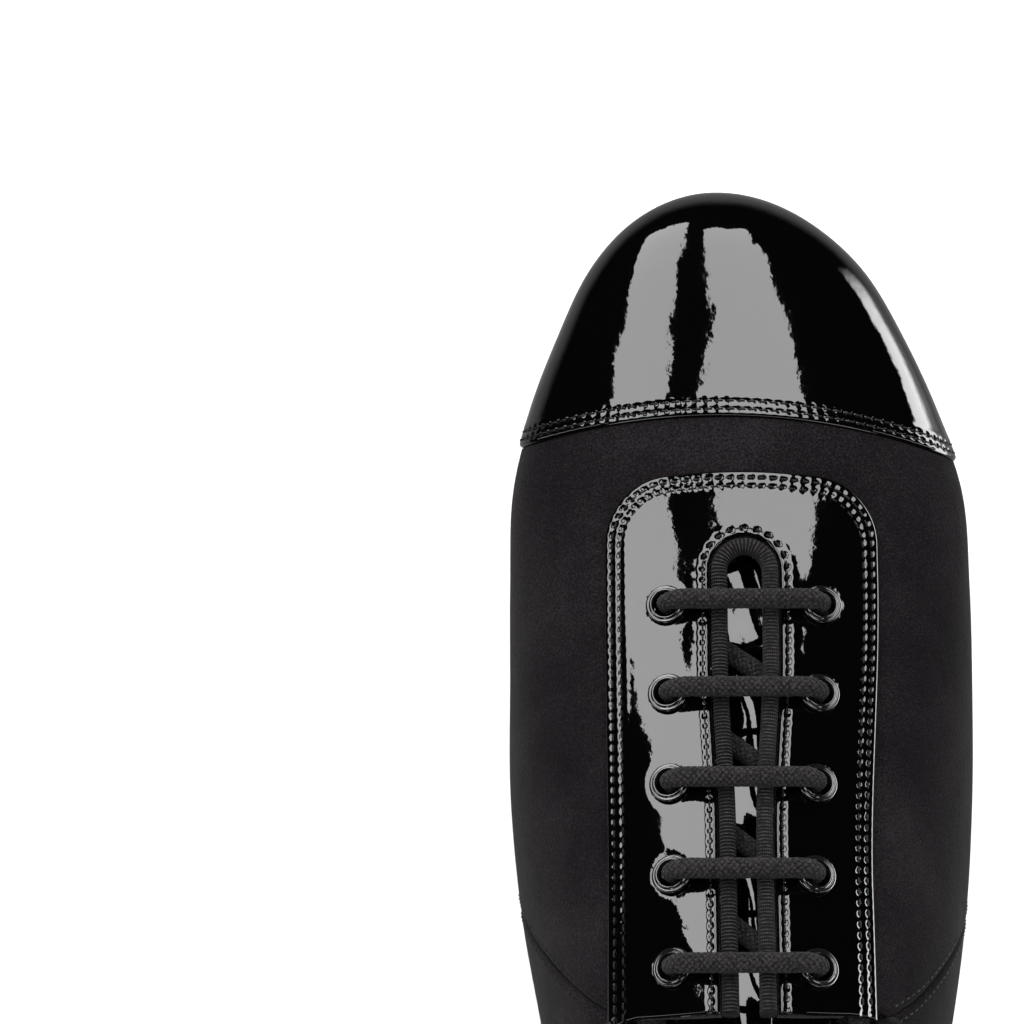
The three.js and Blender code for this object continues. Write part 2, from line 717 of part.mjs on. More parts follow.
const shankRings = steps(10, (t) => {
  const s = mix(128, 228, t);
  const half = 6 - 1.5 * Math.abs(2 * t - 1) ** 3;
  const z = soleLine(s);
  return [
    new THREE.Vector3(half - 1, behind(s), z + 0.3),
    new THREE.Vector3(half - 1, behind(s), z + 1.7),
    new THREE.Vector3(-half - 1, behind(s), z + 1.7),
    new THREE.Vector3(-half - 1, behind(s), z + 0.3),
  ];
});
add("shank", solid(new LoftGeometry(shankRings, { capStart: true, capEnd: true })), steel);

const heelTop = TREAD_Z + HEEL_RISE - 0.1 - SOLE - GAP;
const liftTop = TAP + GAP + TOP_LIFT;
add("heel_block", heelPiece(liftTop + GAP, heelTop, 1.6, 0.2).subtract(pilot).subtract(fixingHoles), stack);
add("top_lift", heelPiece(TAP + GAP, liftTop, 1.6, 1.6).subtract(pilot), rubber);

const hollowEdge = plan([
  [-60, 90],
  ...steps(12, (t) => [mix(-60, 60, t), TAP_END - 7 * Math.cos((Math.PI * (t - 0.5)) / 1) ** 2]),
  [60, 90],
]);
const tapTo = tauAt(TAP_END + 8);
const soundLow = -0.1 - SOLE - GAP - SOUND_BOARD;
const sound = layer({ inset: 1.6, low: soundLow, high: soundLow + SOUND_BOARD, from: 0.03, to: tapTo, steps: 12 });
add("sound_board", sound.subtract(hollowEdge.translate(0, -2, 0)).subtract(pilot), fibre);

// Tap plates, with a countersunk hole for each screw.
const CORE = 1.7; // screw shank radius
const HEAD = 3.4;
const HEAD_DEPTH = 1.9;
const RECESS = 0.35;
function countersink({ place, axis }) {
  const cone = new THREE.LatheGeometry(
    [
      [0, -2],
      [HEAD + 0.45, -2],
      [HEAD + 0.45, RECESS + 0.1],
      [CORE + 0.45, RECESS + HEAD_DEPTH + 0.1],
      [CORE + 0.45, 8],
      [0, 8],
    ].map(([r, h]) => new THREE.Vector2(r, h)),
    16,
  );
  return solid(turnedTo(cone, axis, place));
}
const sinks = plates.map(([, list]) => wasm.Manifold.union(list.map(countersink)));
const toeBlank = layer({ inset: 2.6, low: -TREAD_Z, high: TAP - TREAD_Z, from: 0.03, to: tapTo, steps: 12 });
add("toe_tap", toeBlank.subtract(hollowEdge).subtract(sinks[0]), aluminium);
add("heel_tap", heelPiece(0, TAP, 2.6, 2.2, 211).subtract(sinks[1]), aluminium);

// A countersunk screw with a straight slot, its head down and its point up.
const screwProfile = [
  [0, RECESS],
  [HEAD, RECESS],
  [HEAD, RECESS + 0.25],
  [CORE, RECESS + HEAD_DEPTH],
  [CORE, SCREW_LENGTH - 2],
  [0, SCREW_LENGTH],
].map(([r, h]) => new THREE.Vector2(r, h));
const slot = new THREE.BoxGeometry(2 * HEAD + 1, 1.6, 0.9).translate(0, RECESS, 0);
const screwSolid = solid(new THREE.LatheGeometry(screwProfile, 16)).subtract(solid(slot));
for (const [name, list] of plates) {
  list.forEach(({ place, axis }, i) => {
    const mesh = add(`${name}_screw_${i + 1}`, screwSolid, steel);
    mesh.position.copy(place);
    mesh.quaternion.setFromUnitVectors(UP, axis);
  });
}

// The heel is held from inside by one screw and four nails.
const BOARD_TOP = TREAD_Z + HEEL_RISE + 4.6;
const heelScrewProfile = [
  [0, -16],
  [2.1, -14],
  [2.1, -1.4],
  [4, -1.2],
  [4, -0.2],
  [0, -0.2],
].map(([r, h]) => new THREE.Vector2(r, h));
const heelScrew = add("heel_screw", new THREE.LatheGeometry(heelScrewProfile, 14), steel);
heelScrew.rotation.x = Math.PI / 2;
heelScrew.position.set(heelFixings[4].x, heelFixings[4].y, BOARD_TOP);
heelFixings.slice(0, 4).forEach((p, i) => {
  const nail = add(`heel_nail_${i + 1}`, new THREE.CylinderGeometry(0.9, 0.7, 17, 8), steel);
  nail.rotation.x = Math.PI / 2;
  nail.position.set(p.x, p.y, BOARD_TOP - 9);
});

export default shoe;
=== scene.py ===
# A right-foot lace-up tap shoe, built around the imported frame.
#
# Sizes are in millimetres and become metres when a mesh is made. +Z is up, +Y points to the toe and
# +X to the little toe. A place on the upper is (tau, w): tau runs from the toe (0) to the heel (1),
# and w runs over the crown from the lateral side (0) to the medial side (CROWN), and a little under
# the shoe beyond both. On the crown a place is also (x, s), s being the distance behind the toe's tip.

import math

import bmesh
import bpy
import numpy as np
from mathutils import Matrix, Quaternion, Vector


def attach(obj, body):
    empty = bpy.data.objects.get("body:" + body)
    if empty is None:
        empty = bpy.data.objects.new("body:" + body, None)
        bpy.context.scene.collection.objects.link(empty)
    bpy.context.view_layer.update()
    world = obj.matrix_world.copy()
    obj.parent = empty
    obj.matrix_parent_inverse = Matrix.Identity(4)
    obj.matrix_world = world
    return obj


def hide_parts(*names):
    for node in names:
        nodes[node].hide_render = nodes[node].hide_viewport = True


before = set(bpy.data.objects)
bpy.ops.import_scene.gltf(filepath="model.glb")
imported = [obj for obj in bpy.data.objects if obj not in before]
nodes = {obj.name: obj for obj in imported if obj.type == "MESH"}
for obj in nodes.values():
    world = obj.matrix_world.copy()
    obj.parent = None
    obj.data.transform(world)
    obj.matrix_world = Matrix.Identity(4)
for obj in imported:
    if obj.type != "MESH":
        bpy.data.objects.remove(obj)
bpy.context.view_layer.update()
rng = np.random.default_rng(7)

MM = 0.001

# ------------------------------------------------------------------ camera

LENGTH = 270.0
TIP_Y = 135.35
VIEW_X = -47.6
VIEW_S = 66.0
VIEW_Z = 27.0
VIEW_WIDTH = 212.9
VIEW_DISTANCE = 1100.0
SENSOR = 36.0

camera_data = bpy.data.cameras.new("camera")
camera = bpy.data.objects.new("camera", camera_data)
bpy.context.scene.collection.objects.link(camera)
camera_data.sensor_width = SENSOR
camera_data.lens = SENSOR * VIEW_DISTANCE / VIEW_WIDTH
camera_data.clip_start = 0.05
camera_data.clip_end = 20
camera.location = Vector((VIEW_X, TIP_Y - VIEW_S, VIEW_Z + VIEW_DISTANCE)) * MM
bpy.context.scene.camera = camera

# ------------------------------------------------------------------ the shape of the upper

TAP = 3.2
GAP = 0.3
SOUND_BOARD = 2.0
SOLE = 4.0
TOP_LIFT = 4.7
HEEL_RISE = 17.0
TREAD_Z = TAP + GAP + SOUND_BOARD + GAP + SOLE + GAP
TOE_SPRING = 6.0
SPRING_FROM = 40.0
NOSE_Z = 21.0
CROWN = 0.6
TURN = 0.35
EPS = 1e-4

# s, half width medial, half width lateral, x of ridge, z of ridge, z of widest place, crown power
SECTIONS = np.array([
    [0, 0, 0, -5, 21, 21, 2],
    [6, 17.2, 18.3, -4.6, 32.5, 22.6, 2.05],
    [16, 27, 28.7, -3.8, 38.3, 23.4, 2.15],
    [30, 34.7, 36.1, -2.8, 42.6, 24, 2.2],
    [45, 41.3, 42.1, -1.9, 46.4, 24.5, 2.2],
    [62, 46.4, 47.1, -1, 51.4, 25, 2.15],
    [82, 47.7, 47.9, -0.3, 58.4, 25.5, 2.1],
    [100, 48, 48, 0, 66, 26, 2.1],
    [125, 47.9, 47.8, 0, 77.8, 28.5, 2],
    [150, 45.5, 46, 0, 90.4, 33, 1.95],
    [175, 41, 42, 0, 101.5, 39, 1.9],
    [200, 36.8, 36.8, -0.5, 108.5, 45, 1.85],
    [225, 34, 32.7, -1, 111, 48, 1.8],
    [248, 30.3, 28.6, -1.5, 110, 49, 1.8],
    [262, 20.3, 19.4, -1.8, 108, 49, 1.8],
    [270, 0, 0, -2, 106, 49, 1.8],
], float)


def tau_at(s):
    return np.arccos(1 - 2 * np.clip(np.asarray(s, float) / LENGTH, 0, 1)) / np.pi


def s_at(tau):
    return LENGTH * (1 - np.cos(np.pi * np.asarray(tau, float))) / 2


def mix(a, b, t):
    return a + (b - a) * t


def ease(a, b, x):
    t = np.clip((np.asarray(x, float) - a) / (b - a), 0, 1)
    return t * t * (3 - 2 * t)


KNOTS = tau_at(SECTIONS[:, 0])
NEXT = np.minimum(np.arange(len(KNOTS)) + 1, len(KNOTS) - 1)
LAST = np.maximum(np.arange(len(KNOTS)) - 1, 0)
SLOPES = (SECTIONS[NEXT] - SECTIONS[LAST]) / (KNOTS[NEXT] - KNOTS[LAST])[:, None]


def along(column, tau):
    """A smooth curve through one column of SECTIONS."""
    i = np.clip(np.searchsorted(KNOTS, tau) - 1, 0, len(KNOTS) - 2)
    width = KNOTS[i + 1] - KNOTS[i]
    t = (tau - KNOTS[i]) / width
    t2, t3 = t * t, t * t * t
    return (
        (2 * t3 - 3 * t2 + 1) * SECTIONS[i, column]
        + (t3 - 2 * t2 + t) * width * SLOPES[i, column]
        + (3 * t2 - 2 * t3) * SECTIONS[i + 1, column]
        + (t3 - t2) * width * SLOPES[i + 1, column]
    )


def sole_line(s):
    spring = TOE_SPRING * np.clip((SPRING_FROM - np.asarray(s, float)) / SPRING_FROM, 0, 1) ** 2
    return TREAD_Z + spring + HEEL_RISE * ease(112, 205, s)


def heel_lean(s, z):
    return 0.0045 * (z - 50) ** 2 * ease(195, LENGTH, s)


def turn_of(side):
    return side * 8 / (side + 8)


def bare(tau, v, grow=0.0):
    """The fabric's outer face, grown sideways and downwards below the widest place."""
    tau, v, grow = np.broadcast_arrays(np.asarray(tau, float), np.asarray(v, float), np.asarray(grow, float))
    s = s_at(tau)
    medial, lateral, ridge, top, wide, power = (along(k, tau) for k in range(1, 7))
    low = mix(NOSE_Z, sole_line(s), np.sin(np.clip(tau / tau_at(6), 0, 1) * np.pi / 2))
    angle = np.pi * v / CROWN
    c = np.cos(angle)
    x_up = ridge + np.where(c >= 0, lateral, medial) * np.sign(c) * np.abs(c) ** (2 / power)
    z_up = wide + (top - wide) * np.maximum(0, np.sin(angle)) ** (2 / power)
    around = (v - CROWN) / (1 - CROWN)
    sign = np.where(around < 0.5, -1.0, 1.0)
    plain = np.maximum(np.where(sign < 0, medial, lateral), 0)
    side = plain + grow
    turn = np.maximum(turn_of(plain) + grow, 0.25 * turn_of(plain))
    depth = wide - low
    under = depth + grow * np.clip(depth / 5, 0, 1)
    share = np.where(sign < 0, around, 1 - around) / TURN
    corner = np.minimum(1, share) * np.pi / 2
    flat = np.clip((share - 1) / (0.5 / TURN - 1), 0, 1)
    x_low = ridge + sign * ((side - turn) * (1 - flat) + turn * np.cos(corner))
    z_low = wide - under * np.sin(corner)
    crown_part = v <= CROWN
    x = np.where(crown_part, x_up, x_low)
    z = np.where(crown_part, z_up, z_low)
    return np.stack([x, TIP_Y - s + heel_lean(s, z), z], -1)


def unit(a):
    return a / np.maximum(np.linalg.norm(a, axis=-1, keepdims=True), 1e-12)


def outward(tau, v):
    t = np.clip(tau, 2 * EPS, 1 - 2 * EPS)
    run = bare(t + EPS, v) - bare(t - EPS, v)
    low = np.maximum(v - EPS, 0)
    high = np.where((v < CROWN) & (v + EPS > CROWN), CROWN, v + EPS)
    return unit(np.cross(bare(t, high) - bare(t, low), run))


def skin(tau, w, rise=0.0):
    """A point on the upper at a rise outside (or, negative, inside) the fabric's outer face."""
    tau, w, rise = np.broadcast_arrays(np.asarray(tau, float), np.asarray(w, float), np.asarray(rise, float))
    v = np.mod(w, 1.0)
    over = bare(tau, v) + rise[..., None] * outward(tau, np.minimum(v, CROWN))
    widest = np.where(v < (1 + CROWN) / 2, CROWN, 0.0)
    n = outward(tau, widest)
    under = bare(tau, v, rise * np.abs(n[..., 0]))
    under[..., 1] += rise * n[..., 1]
    return np.where((v <= CROWN)[..., None], over, under)


def w_across(x, s):
    x, s = np.broadcast_arrays(np.asarray(x, float), np.asarray(s, float))
    tau = tau_at(s)
    ridge, power = along(3, tau), along(6, tau)
    side = np.where(x >= ridge, along(2, tau), along(1, tau))
    share = np.clip(np.abs(x - ridge) / side, 0, 1) ** (power / 2)
    return CROWN * np.arccos(np.where(x >= ridge, share, -share)) / np.pi


def crown(x, s, rise=0.0):
    return skin(tau_at(s), w_across(x, s), rise)


def crown_normal(x, s):
    return outward(tau_at(s), w_across(x, s))


# ------------------------------------------------------------------ outlines on the upper

CAP_LENGTH = 46.5
CAP_MIDDLE = -4.8
CAP_SWEEP = 0.0037
PANEL_FRONT = 58.0
PANEL_SHIFT = -2.2
SLOT_SHIFT = -1.3
EYELET_SHIFT = -1.8
PANEL_END = 163.5
SLOT_FRONT = 78.2
BINDING = 3.3
EYELET_ROWS = 5
FIRST_ROW = 85.3
ROW_PITCH = 17.65
FEATHER = 0.14  # how far, in w, the upper turns under on each side
ANKLE_TAPE = 3.5


def cap_line(x):
    return CAP_LENGTH + CAP_SWEEP * (x - CAP_MIDDLE) ** 2


def shifted(outline, far):
    """An outline of [x, s] moved to the medial side, more so behind the ball."""
    x, s = np.moveaxis(np.asarray(outline, float), -1, 0)
    return np.stack([x + far * mix(0.45, 1, ease(80, 140, s)), s], -1)


def panel_half(s):
    return mix(27.3, 25.6, ease(80, 140, s))


def slot_half(s):
    return mix(6.8, 5.3, ease(95, 130, s))


def spread(points, count):
    """A polyline cut into count - 1 equal steps."""
    points = np.asarray(points, float)
    walked = np.concatenate([[0], np.cumsum(np.linalg.norm(np.diff(points, axis=0), axis=1))])
    at = np.linspace(0, walked[-1], count)
    return np.stack([np.interp(at, walked, points[:, k]) for k in range(points.shape[1])], -1)


def smooth_curve(points, count):
    """A centripetal Catmull-Rom curve through the points, cut into count - 1 equal steps."""
    p = np.asarray(points, float)
    p = np.vstack([2 * p[0] - p[1], p, 2 * p[-1] - p[-2]])
    out = []
    for a, b, c, d in zip(p, p[1:], p[2:], p[3:]):
        k = np.cumsum([0] + [max(np.linalg.norm(q - r), 1e-9) ** 0.5 for q, r in ((a, b), (b, c), (c, d))])
        t = np.linspace(k[1], k[2], 17)[:-1, None]
        ab = (k[1] - t) / (k[1] - k[0]) * a + (t - k[0]) / (k[1] - k[0]) * b
        bc = (k[2] - t) / (k[2] - k[1]) * b + (t - k[1]) / (k[2] - k[1]) * c
        cd = (k[3] - t) / (k[3] - k[2]) * c + (t - k[2]) / (k[3] - k[2]) * d
        abc = (k[2] - t) / (k[2] - k[0]) * ab + (t - k[0]) / (k[2] - k[0]) * bc
        bcd = (k[3] - t) / (k[3] - k[1]) * bc + (t - k[1]) / (k[3] - k[1]) * cd
        out.append((k[2] - t) / (k[2] - k[1]) * abc + (t - k[1]) / (k[2] - k[1]) * bcd)
    return spread(np.vstack(out + [p[-2:-1]]), count)


def panel_outline(inset, end=PANEL_END):
    """[x, s] round the panel, from its medial end round the front to its lateral end."""
    corner = 14 - inset / 2
    front = PANEL_FRONT + inset
    t = np.linspace(0, 1, 12)[:-1]
    flat = np.stack([t * (panel_half(front) - inset - corner), front + 0.9 * t * t], -1)
    a = np.linspace(0.03, np.pi / 2, 24)
    bend = np.stack([
        panel_half(front) - inset - corner + corner * np.sin(a),
        front + 0.9 + corner * (1 - np.cos(a)),
    ], -1)
    s = np.linspace(front + corner + 2, end, 50)
    leg = np.stack([panel_half(s) - inset, s], -1)
    half = np.vstack([flat, bend, leg])
    return shifted(np.vstack([half[:0:-1] * [-1, 1], half]), PANEL_SHIFT)


def slot_outline(inset, end=PANEL_END):
    radius = 6.8 - inset
    a = np.linspace(0, np.pi / 2, 24)
    arch = np.stack([radius * np.sin(a), SLOT_FRONT - radius * np.cos(a)], -1)
    s = np.linspace(SLOT_FRONT + 1.5, end, 60)
    leg = np.stack([slot_half(s) - inset, s], -1)
    half = np.vstack([arch, leg])
    return shifted(np.vstack([half[:0:-1] * [-1, 1], half]), SLOT_SHIFT)


def inside(polygon, points):
    """Whether each point lies in the polygon."""
    x, y = points[..., 0], points[..., 1]
    within = np.zeros(x.shape, bool)
    for (x0, y0), (x1, y1) in zip(polygon, np.roll(polygon, -1, axis=0)):
        crosses = (y0 > y) != (y1 > y)
        within ^= crosses & (x < (x1 - x0) * (y - y0) / (y1 - y0 + 1e-12) + x0)
    return within


def nearest(line, points):
    """For each point: the nearest point of a dense polyline, its distance and its index."""
    found = np.empty(points.shape[:-1], int)
    flat = points.reshape(-1, 2)
    result = found.reshape(-1)
    for start in range(0, len(flat), 4000):
        part = flat[start:start + 4000]
        result[start:start + 4000] = ((part[:, None] - line[None]) ** 2).sum(-1).argmin(1)
    place = line[found]
    return place, np.linalg.norm(points - place, axis=-1), found


# The ankle's top line, seen from the side, as [s, z] of the world.
TOP_LINE = smooth_curve([
    [163.5, 101], [165.5, 89], [172, 80], [184, 73.5], [202, 70], [224, 71], [246, 76.5], [262, 83],
                         [276, 87],
], 240)
SEAM = np.array([[139, -20], [142, 12], [151, 45], [163, 75], [172, 104], [175, 150]], float)
COUNTER = np.array([[222, -20], [224, 30], [231, 48], [243, 63], [252, 74], [255, 110]], float)


def top_z(s):
    return np.interp(s, TOP_LINE[:, 0], TOP_LINE[:, 1])


def line_s(line, z):
    return np.interp(z, line[:, 1], line[:, 0])


def top_w(tau, drop, side):
    """w of the place on the section at tau that lies drop below the top line."""
    s = s_at(tau)
    wide, top, power = along(5, tau), along(4, tau), along(6, tau)
    z = top_z(s) - drop
    for _ in range(4):
        z = top_z(s - heel_lean(s, z)) - drop
    share = np.clip((z - wide) / (top - wide), 0, 1) ** (power / 2)
    w = CROWN * np.arcsin(share) / np.pi
    return w if side > 0 else CROWN - w


EYELETS = []
for row in range(EYELET_ROWS):
    for side in (1, -1):
        s = FIRST_ROW + row * ROW_PITCH
        x = float(shifted([side * mix(15.4, 13.7, min(1, row / 3)), s], EYELET_SHIFT)[0])
        EYELETS.append({"row": row, "side": side, "x": x, "s": s, "place": crown(x, s),
                        "axis": crown_normal(x, s)})

# ------------------------------------------------------------------ mesh making


def make_mesh(name, verts, faces, material, body="shoe", slot=None, replaces=(), weave=None, under=None,
              lower=(),
              sharp=None):
    """A mesh object from millimetre vertices. weave is a place on the pattern for each vertex, lower
    marks the faces that have the material under, and edges over sharp degrees stay sharp."""
    data = bpy.data.meshes.new(name)
    data.from_pydata((np.asarray(verts) * MM).tolist(), [], [list(map(int, f)) for f in faces])
    data.materials.append(material)
    if weave is not None:
        layer = data.attributes.new("weave", "FLOAT_VECTOR", "POINT")
        layer.data.foreach_set("vector", np.asarray(weave, np.float32).ravel())
    if under:
        data.materials.append(under)
        data.polygons.foreach_set("material_index", np.asarray(lower, np.int32))
    data.validate()
    work = bmesh.new()
    work.from_mesh(data)
    bmesh.ops.remove_doubles(work, verts=work.verts, dist=1e-7)
    bmesh.ops.recalc_face_normals(work, faces=work.faces)
    work.to_mesh(data)
    work.free()
    data.shade_smooth()
    if sharp:
        data.set_sharp_from_angle(angle=math.radians(sharp))
    piece = bpy.data.objects.new(name, data)
    bpy.context.scene.collection.objects.link(piece)
    return finish_piece(piece, body, replaces)


def finish_piece(piece, body, replaces):
    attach(piece, body)
    if replaces:
        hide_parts(*replaces)
    return piece


def grid_quads(rows, columns, wrap=False):
    """Quads of a grid of vertices. wrap joins the last column to the first."""
    r, c = np.meshgrid(np.arange(rows - 1), np.arange(columns if wrap else columns - 1), indexing="ij")
    d = (c + 1) % columns
    return np.stack([r * columns + c, r * columns + d, (r + 1) * columns + d, (r + 1) * columns + c],
                    -1).reshape(-1, 4)


def weld(piece, reach=0.004):
    """Join the vertices that lie together, and leave out faces that have closed up."""
    work = bmesh.new()
    work.from_mesh(piece.data)
    bmesh.ops.remove_doubles(work, verts=work.verts, dist=reach * MM)
    bmesh.ops.dissolve_degenerate(work, edges=work.edges, dist=reach * MM * 0.2)
    work.to_mesh(piece.data)
    work.free()
    piece.data.shade_smooth()
    return piece


def edge_round(distance, radius):
    """How much of its half thickness a sheet keeps at a distance from its edge."""
    t = np.clip(1 - distance / radius, 0, 1)
    return np.maximum(np.sqrt(1 - t * t), 0.12)


def sheet_mesh(name, surface, grid, high, low, material, keep=None, **options):
    """A sheet of material over a grid. surface(rise) gives its points, high and low its faces' rises."""
    rows, columns = grid
    quads = grid_quads(rows, columns)
    top, bottom = surface(high).reshape(-1, 3), surface(low).reshape(-1, 3)
    if keep is not None:
        quads = quads[keep.ravel()]
    count = rows * columns
    edges = np.concatenate([quads[:, [k, (k + 1) % 4]] for k in range(4)])
    forward = edges[:, 0].astype(np.int64) * count + edges[:, 1]
    backward = edges[:, 1].astype(np.int64) * count + edges[:, 0]
    rim = edges[~np.isin(forward, backward)]
    rim_quads = np.stack([rim[:, 1], rim[:, 0], rim[:, 0] + count, rim[:, 1] + count], -1)
    faces = np.concatenate([quads, quads[:, ::-1] + count, rim_quads])
    used = np.unique(faces)
    renumber = np.zeros(2 * count, int)
    renumber[used] = np.arange(len(used))
    lower = np.zeros(len(faces), int)
    lower[len(quads):2 * len(quads)] = 1
    points = np.concatenate([top, bottom])[used]
    return make_mesh(name, points, renumber[faces], material, lower=lower, **options)


def frames(path, up):
    """Tangents, and two directions across them, that turn as little as they can along a path."""
    tangent = unit(np.gradient(path, axis=0))
    first = np.asarray(up, float)
    one = np.empty_like(path)
    for i, t in enumerate(tangent):
        first = first - t * first.dot(t)
        first /= np.linalg.norm(first)
        one[i] = first
    return tangent, one, np.cross(tangent, one)


def sweep(name, path, one, two, profile, material, caps=True, closed=True, **options):
    """A profile of (one, two) pairs carried along a path. profile may have one outline for each point."""
    profile = np.broadcast_to(profile, (len(path),) + np.shape(profile)[-2:])
    points = path[:, None] + profile[..., :1] * one[:, None] + profile[..., 1:] * two[:, None]
    rows, columns = points.shape[:2]
    faces = [list(f) for f in grid_quads(rows, columns, wrap=closed)]
    verts = points.reshape(-1, 3)
    if caps:
        ends = np.stack([points[0].mean(0), points[-1].mean(0)])
        verts = np.vstack([verts, ends])
        last = (rows - 1) * columns
        for c in range(columns):
            d = (c + 1) % columns
            faces.append([rows * columns, d, c])
            faces.append([rows * columns + 1, last + c, last + d])
    return make_mesh(name, verts, faces, material, **options)


def circle(sides, radius=1.0):
    a = np.linspace(0, 2 * np.pi, sides, endpoint=False)
    return np.stack([radius * np.cos(a), radius * np.sin(a)], -1)


def lathe(profile, sides, place, axis, closed=False):
    """Vertices and faces of an outline of [r, h] pairs turned about an axis. closed joins its ends."""
    profile = np.asarray(profile, float)
    axis = unit(np.asarray(axis, float))
    helper = np.array([1.0, 0, 0]) if abs(axis[0]) < 0.9 else np.array([0, 1.0, 0])
    one = unit(np.cross(axis, helper))
    two = np.cross(axis, one)
    ring = circle(sides)
    spokes = ring[:, :1] * one + ring[:, 1:] * two
    verts = np.asarray(place) + profile[:, None, :1] * spokes[None] + profile[:, None, 1:] * axis
    quads = grid_quads(len(profile) + closed, sides, wrap=True) % (len(profile) * sides)
    return verts.reshape(-1, 3), quads


def gather(parts):
    """Several (verts, faces) in one."""
    verts, faces, count = [], [], 0
    for v, f in parts:
        verts.append(v)
        faces.extend((np.asarray(f) + count).tolist())
        count += len(v)
    return np.vstack(verts), faces


# ------------------------------------------------------------------ materials


class Paint:
    """A Principled material and a few short ways to add nodes to it."""

    def __init__(self, name, color, roughness, **sockets):
        self.material = bpy.data.materials.new(name)
        self.material.use_nodes = True
        self.tree = self.material.node_tree
        self.shader = self.tree.nodes["Principled BSDF"]
        self.shader.inputs["Base Color"].default_value = (*color, 1)
        self.shader.inputs["Roughness"].default_value = roughness
        for key, value in sockets.items():
            self.shader.inputs[key.replace("_", " ")].default_value = value
        self.normal = None

    def node(self, kind, inputs=None, **settings):
        made = self.tree.nodes.new("ShaderNode" + kind)
        for key, value in settings.items():
            setattr(made, key, value)
        for key, value in (inputs or {}).items():
            if isinstance(value, bpy.types.NodeSocket):
                self.tree.links.new(value, made.inputs[key])
            else:
                made.inputs[key].default_value = value
        return made

    def place(self):
        return self.node("TexCoord").outputs["Object"]

    def weave(self):
        return self.node("Attribute", attribute_name="weave").outputs["Vector"]

    def noise(self, scale, detail=2.0, roughness=0.5, at=None, distortion=0.0):
        at = at or self.place()
        inputs = {"Vector": at, "Scale": scale, "Detail": detail, "Roughness": roughness,
                  "Distortion": distortion}
        return self.node("TexNoise", inputs).outputs["Fac"]

    def cells(self, scale, at=None, feature="F1"):
        return self.node("TexVoronoi", {"Vector": at or self.place(), "Scale": scale},
                         feature=feature).outputs["Distance"]

    def times(self, a, b, clamp=False):
        return self.math("MULTIPLY", a, b, clamp)

    def plus(self, a, b):
        return self.math("ADD", a, b)

    def sine(self, a):
        return self.math("SINE", a)

    def size(self, a):
        return self.math("ABSOLUTE", a)

    def math(self, operation, a, b=0.0, clamp=False):
        return self.node("Math", {0: a, 1: b}, operation=operation, use_clamp=clamp).outputs[0]

    def between(self, value, low, high, start=0.0, stop=1.0):
        inputs = {"Value": value, "From Min": start, "From Max": stop, "To Min": low, "To Max": high}
        return self.node("MapRange", inputs).outputs["Result"]

    def ramp(self, value, stops):
        made = self.node("ValToRGB", {"Fac": value})
        while len(made.color_ramp.elements) < len(stops):
            made.color_ramp.elements.new(0.5)
        for element, (position, color) in zip(made.color_ramp.elements, stops):
            element.position = position
            element.color = (*color, 1)
        return made.outputs["Color"]

    def scaled(self, source, scale):
        return self.node("Mapping", {"Vector": source, "Scale": scale}).outputs["Vector"]

    def parts(self, source):
        made = self.node("SeparateXYZ", {"Vector": source})
        return made.outputs["X"], made.outputs["Y"], made.outputs["Z"]

    def bump(self, height, distance, strength=1.0):
        inputs = {"Height": height, "Distance": distance, "Strength": strength}
        if self.normal:
            inputs["Normal"] = self.normal
        self.normal = self.node("Bump", inputs).outputs["Normal"]
        return self

    def link(self, socket, value):
        self.tree.links.new(value, self.shader.inputs[socket])
        return self

    def done(self, coat=False):
        if self.normal:
            self.link("Normal", self.normal)
            if coat:
                self.link("Coat Normal", self.normal)
        return self.material


def patent_leather():
    paint = Paint("patent_leather", (0.0006, 0.0006, 0.0007), 0.03, Coat_Weight=0.25, Coat_Roughness=0.02)
    paint.shader.inputs["Specular IOR Level"].default_value = 0.5
    wobble = paint.noise(60, 1.5, 0.45)
    smear = paint.noise(210, 2.0, 0.5)
    grain = paint.noise(900, 2.0, 0.5)
    paint.bump(wobble, 0.0004).bump(smear, 0.00006).bump(grain, 0.000011)
    paint.link("Roughness", paint.between(paint.noise(90, 3, 0.6), 0.02, 0.055, 0.3, 0.75))
    return paint.done(coat=True)


def stretch_fabric():
    paint = Paint("stretch_fabric", (0.0075, 0.006, 0.007), 0.95, Sheen_Weight=0.03, Sheen_Roughness=0.4)
    paint.shader.inputs["Specular IOR Level"].default_value = 0.06
    fine = paint.noise(2600, 2, 0.6)
    cloudy = paint.noise(38, 3, 0.6)
    mixed = paint.plus(paint.times(fine, 0.65), paint.times(cloudy, 0.35))
    paint.link("Base Color", paint.ramp(mixed, [
        (0.38, (0.0018, 0.0014, 0.0018)),
        (0.50, (0.0046, 0.0038, 0.0045)),
        (0.62, (0.0120, 0.0100, 0.0115)),
    ]))
    knit = paint.cells(1900)
    paint.bump(paint.noise(95, 2), 0.0006, 0.6).bump(fine, 0.00012, 0.9).bump(knit, 0.00008, 0.8)
    return paint.done()


def knit_lining():
    paint = Paint("knit_lining", (0.016, 0.0155, 0.0155), 0.95, Sheen_Weight=0.03)
    paint.shader.inputs["Specular IOR Level"].default_value = 0.1
    x, y, z = paint.parts(paint.place())
    rows = paint.sine(paint.times(z, 5200.0))
    columns = paint.sine(paint.times(paint.plus(y, x), 5200.0))
    mesh = paint.times(rows, columns)
    paint.link("Base Color", paint.ramp(paint.between(mesh, 0, 1, -1, 1), [
        (0.1, (0.007, 0.0068, 0.0068)), (0.8, (0.021, 0.020, 0.020)),
    ]))
    paint.bump(paint.noise(60, 2), 0.0008, 0.6).bump(mesh, 0.0001, 0.8)
    return paint.done()


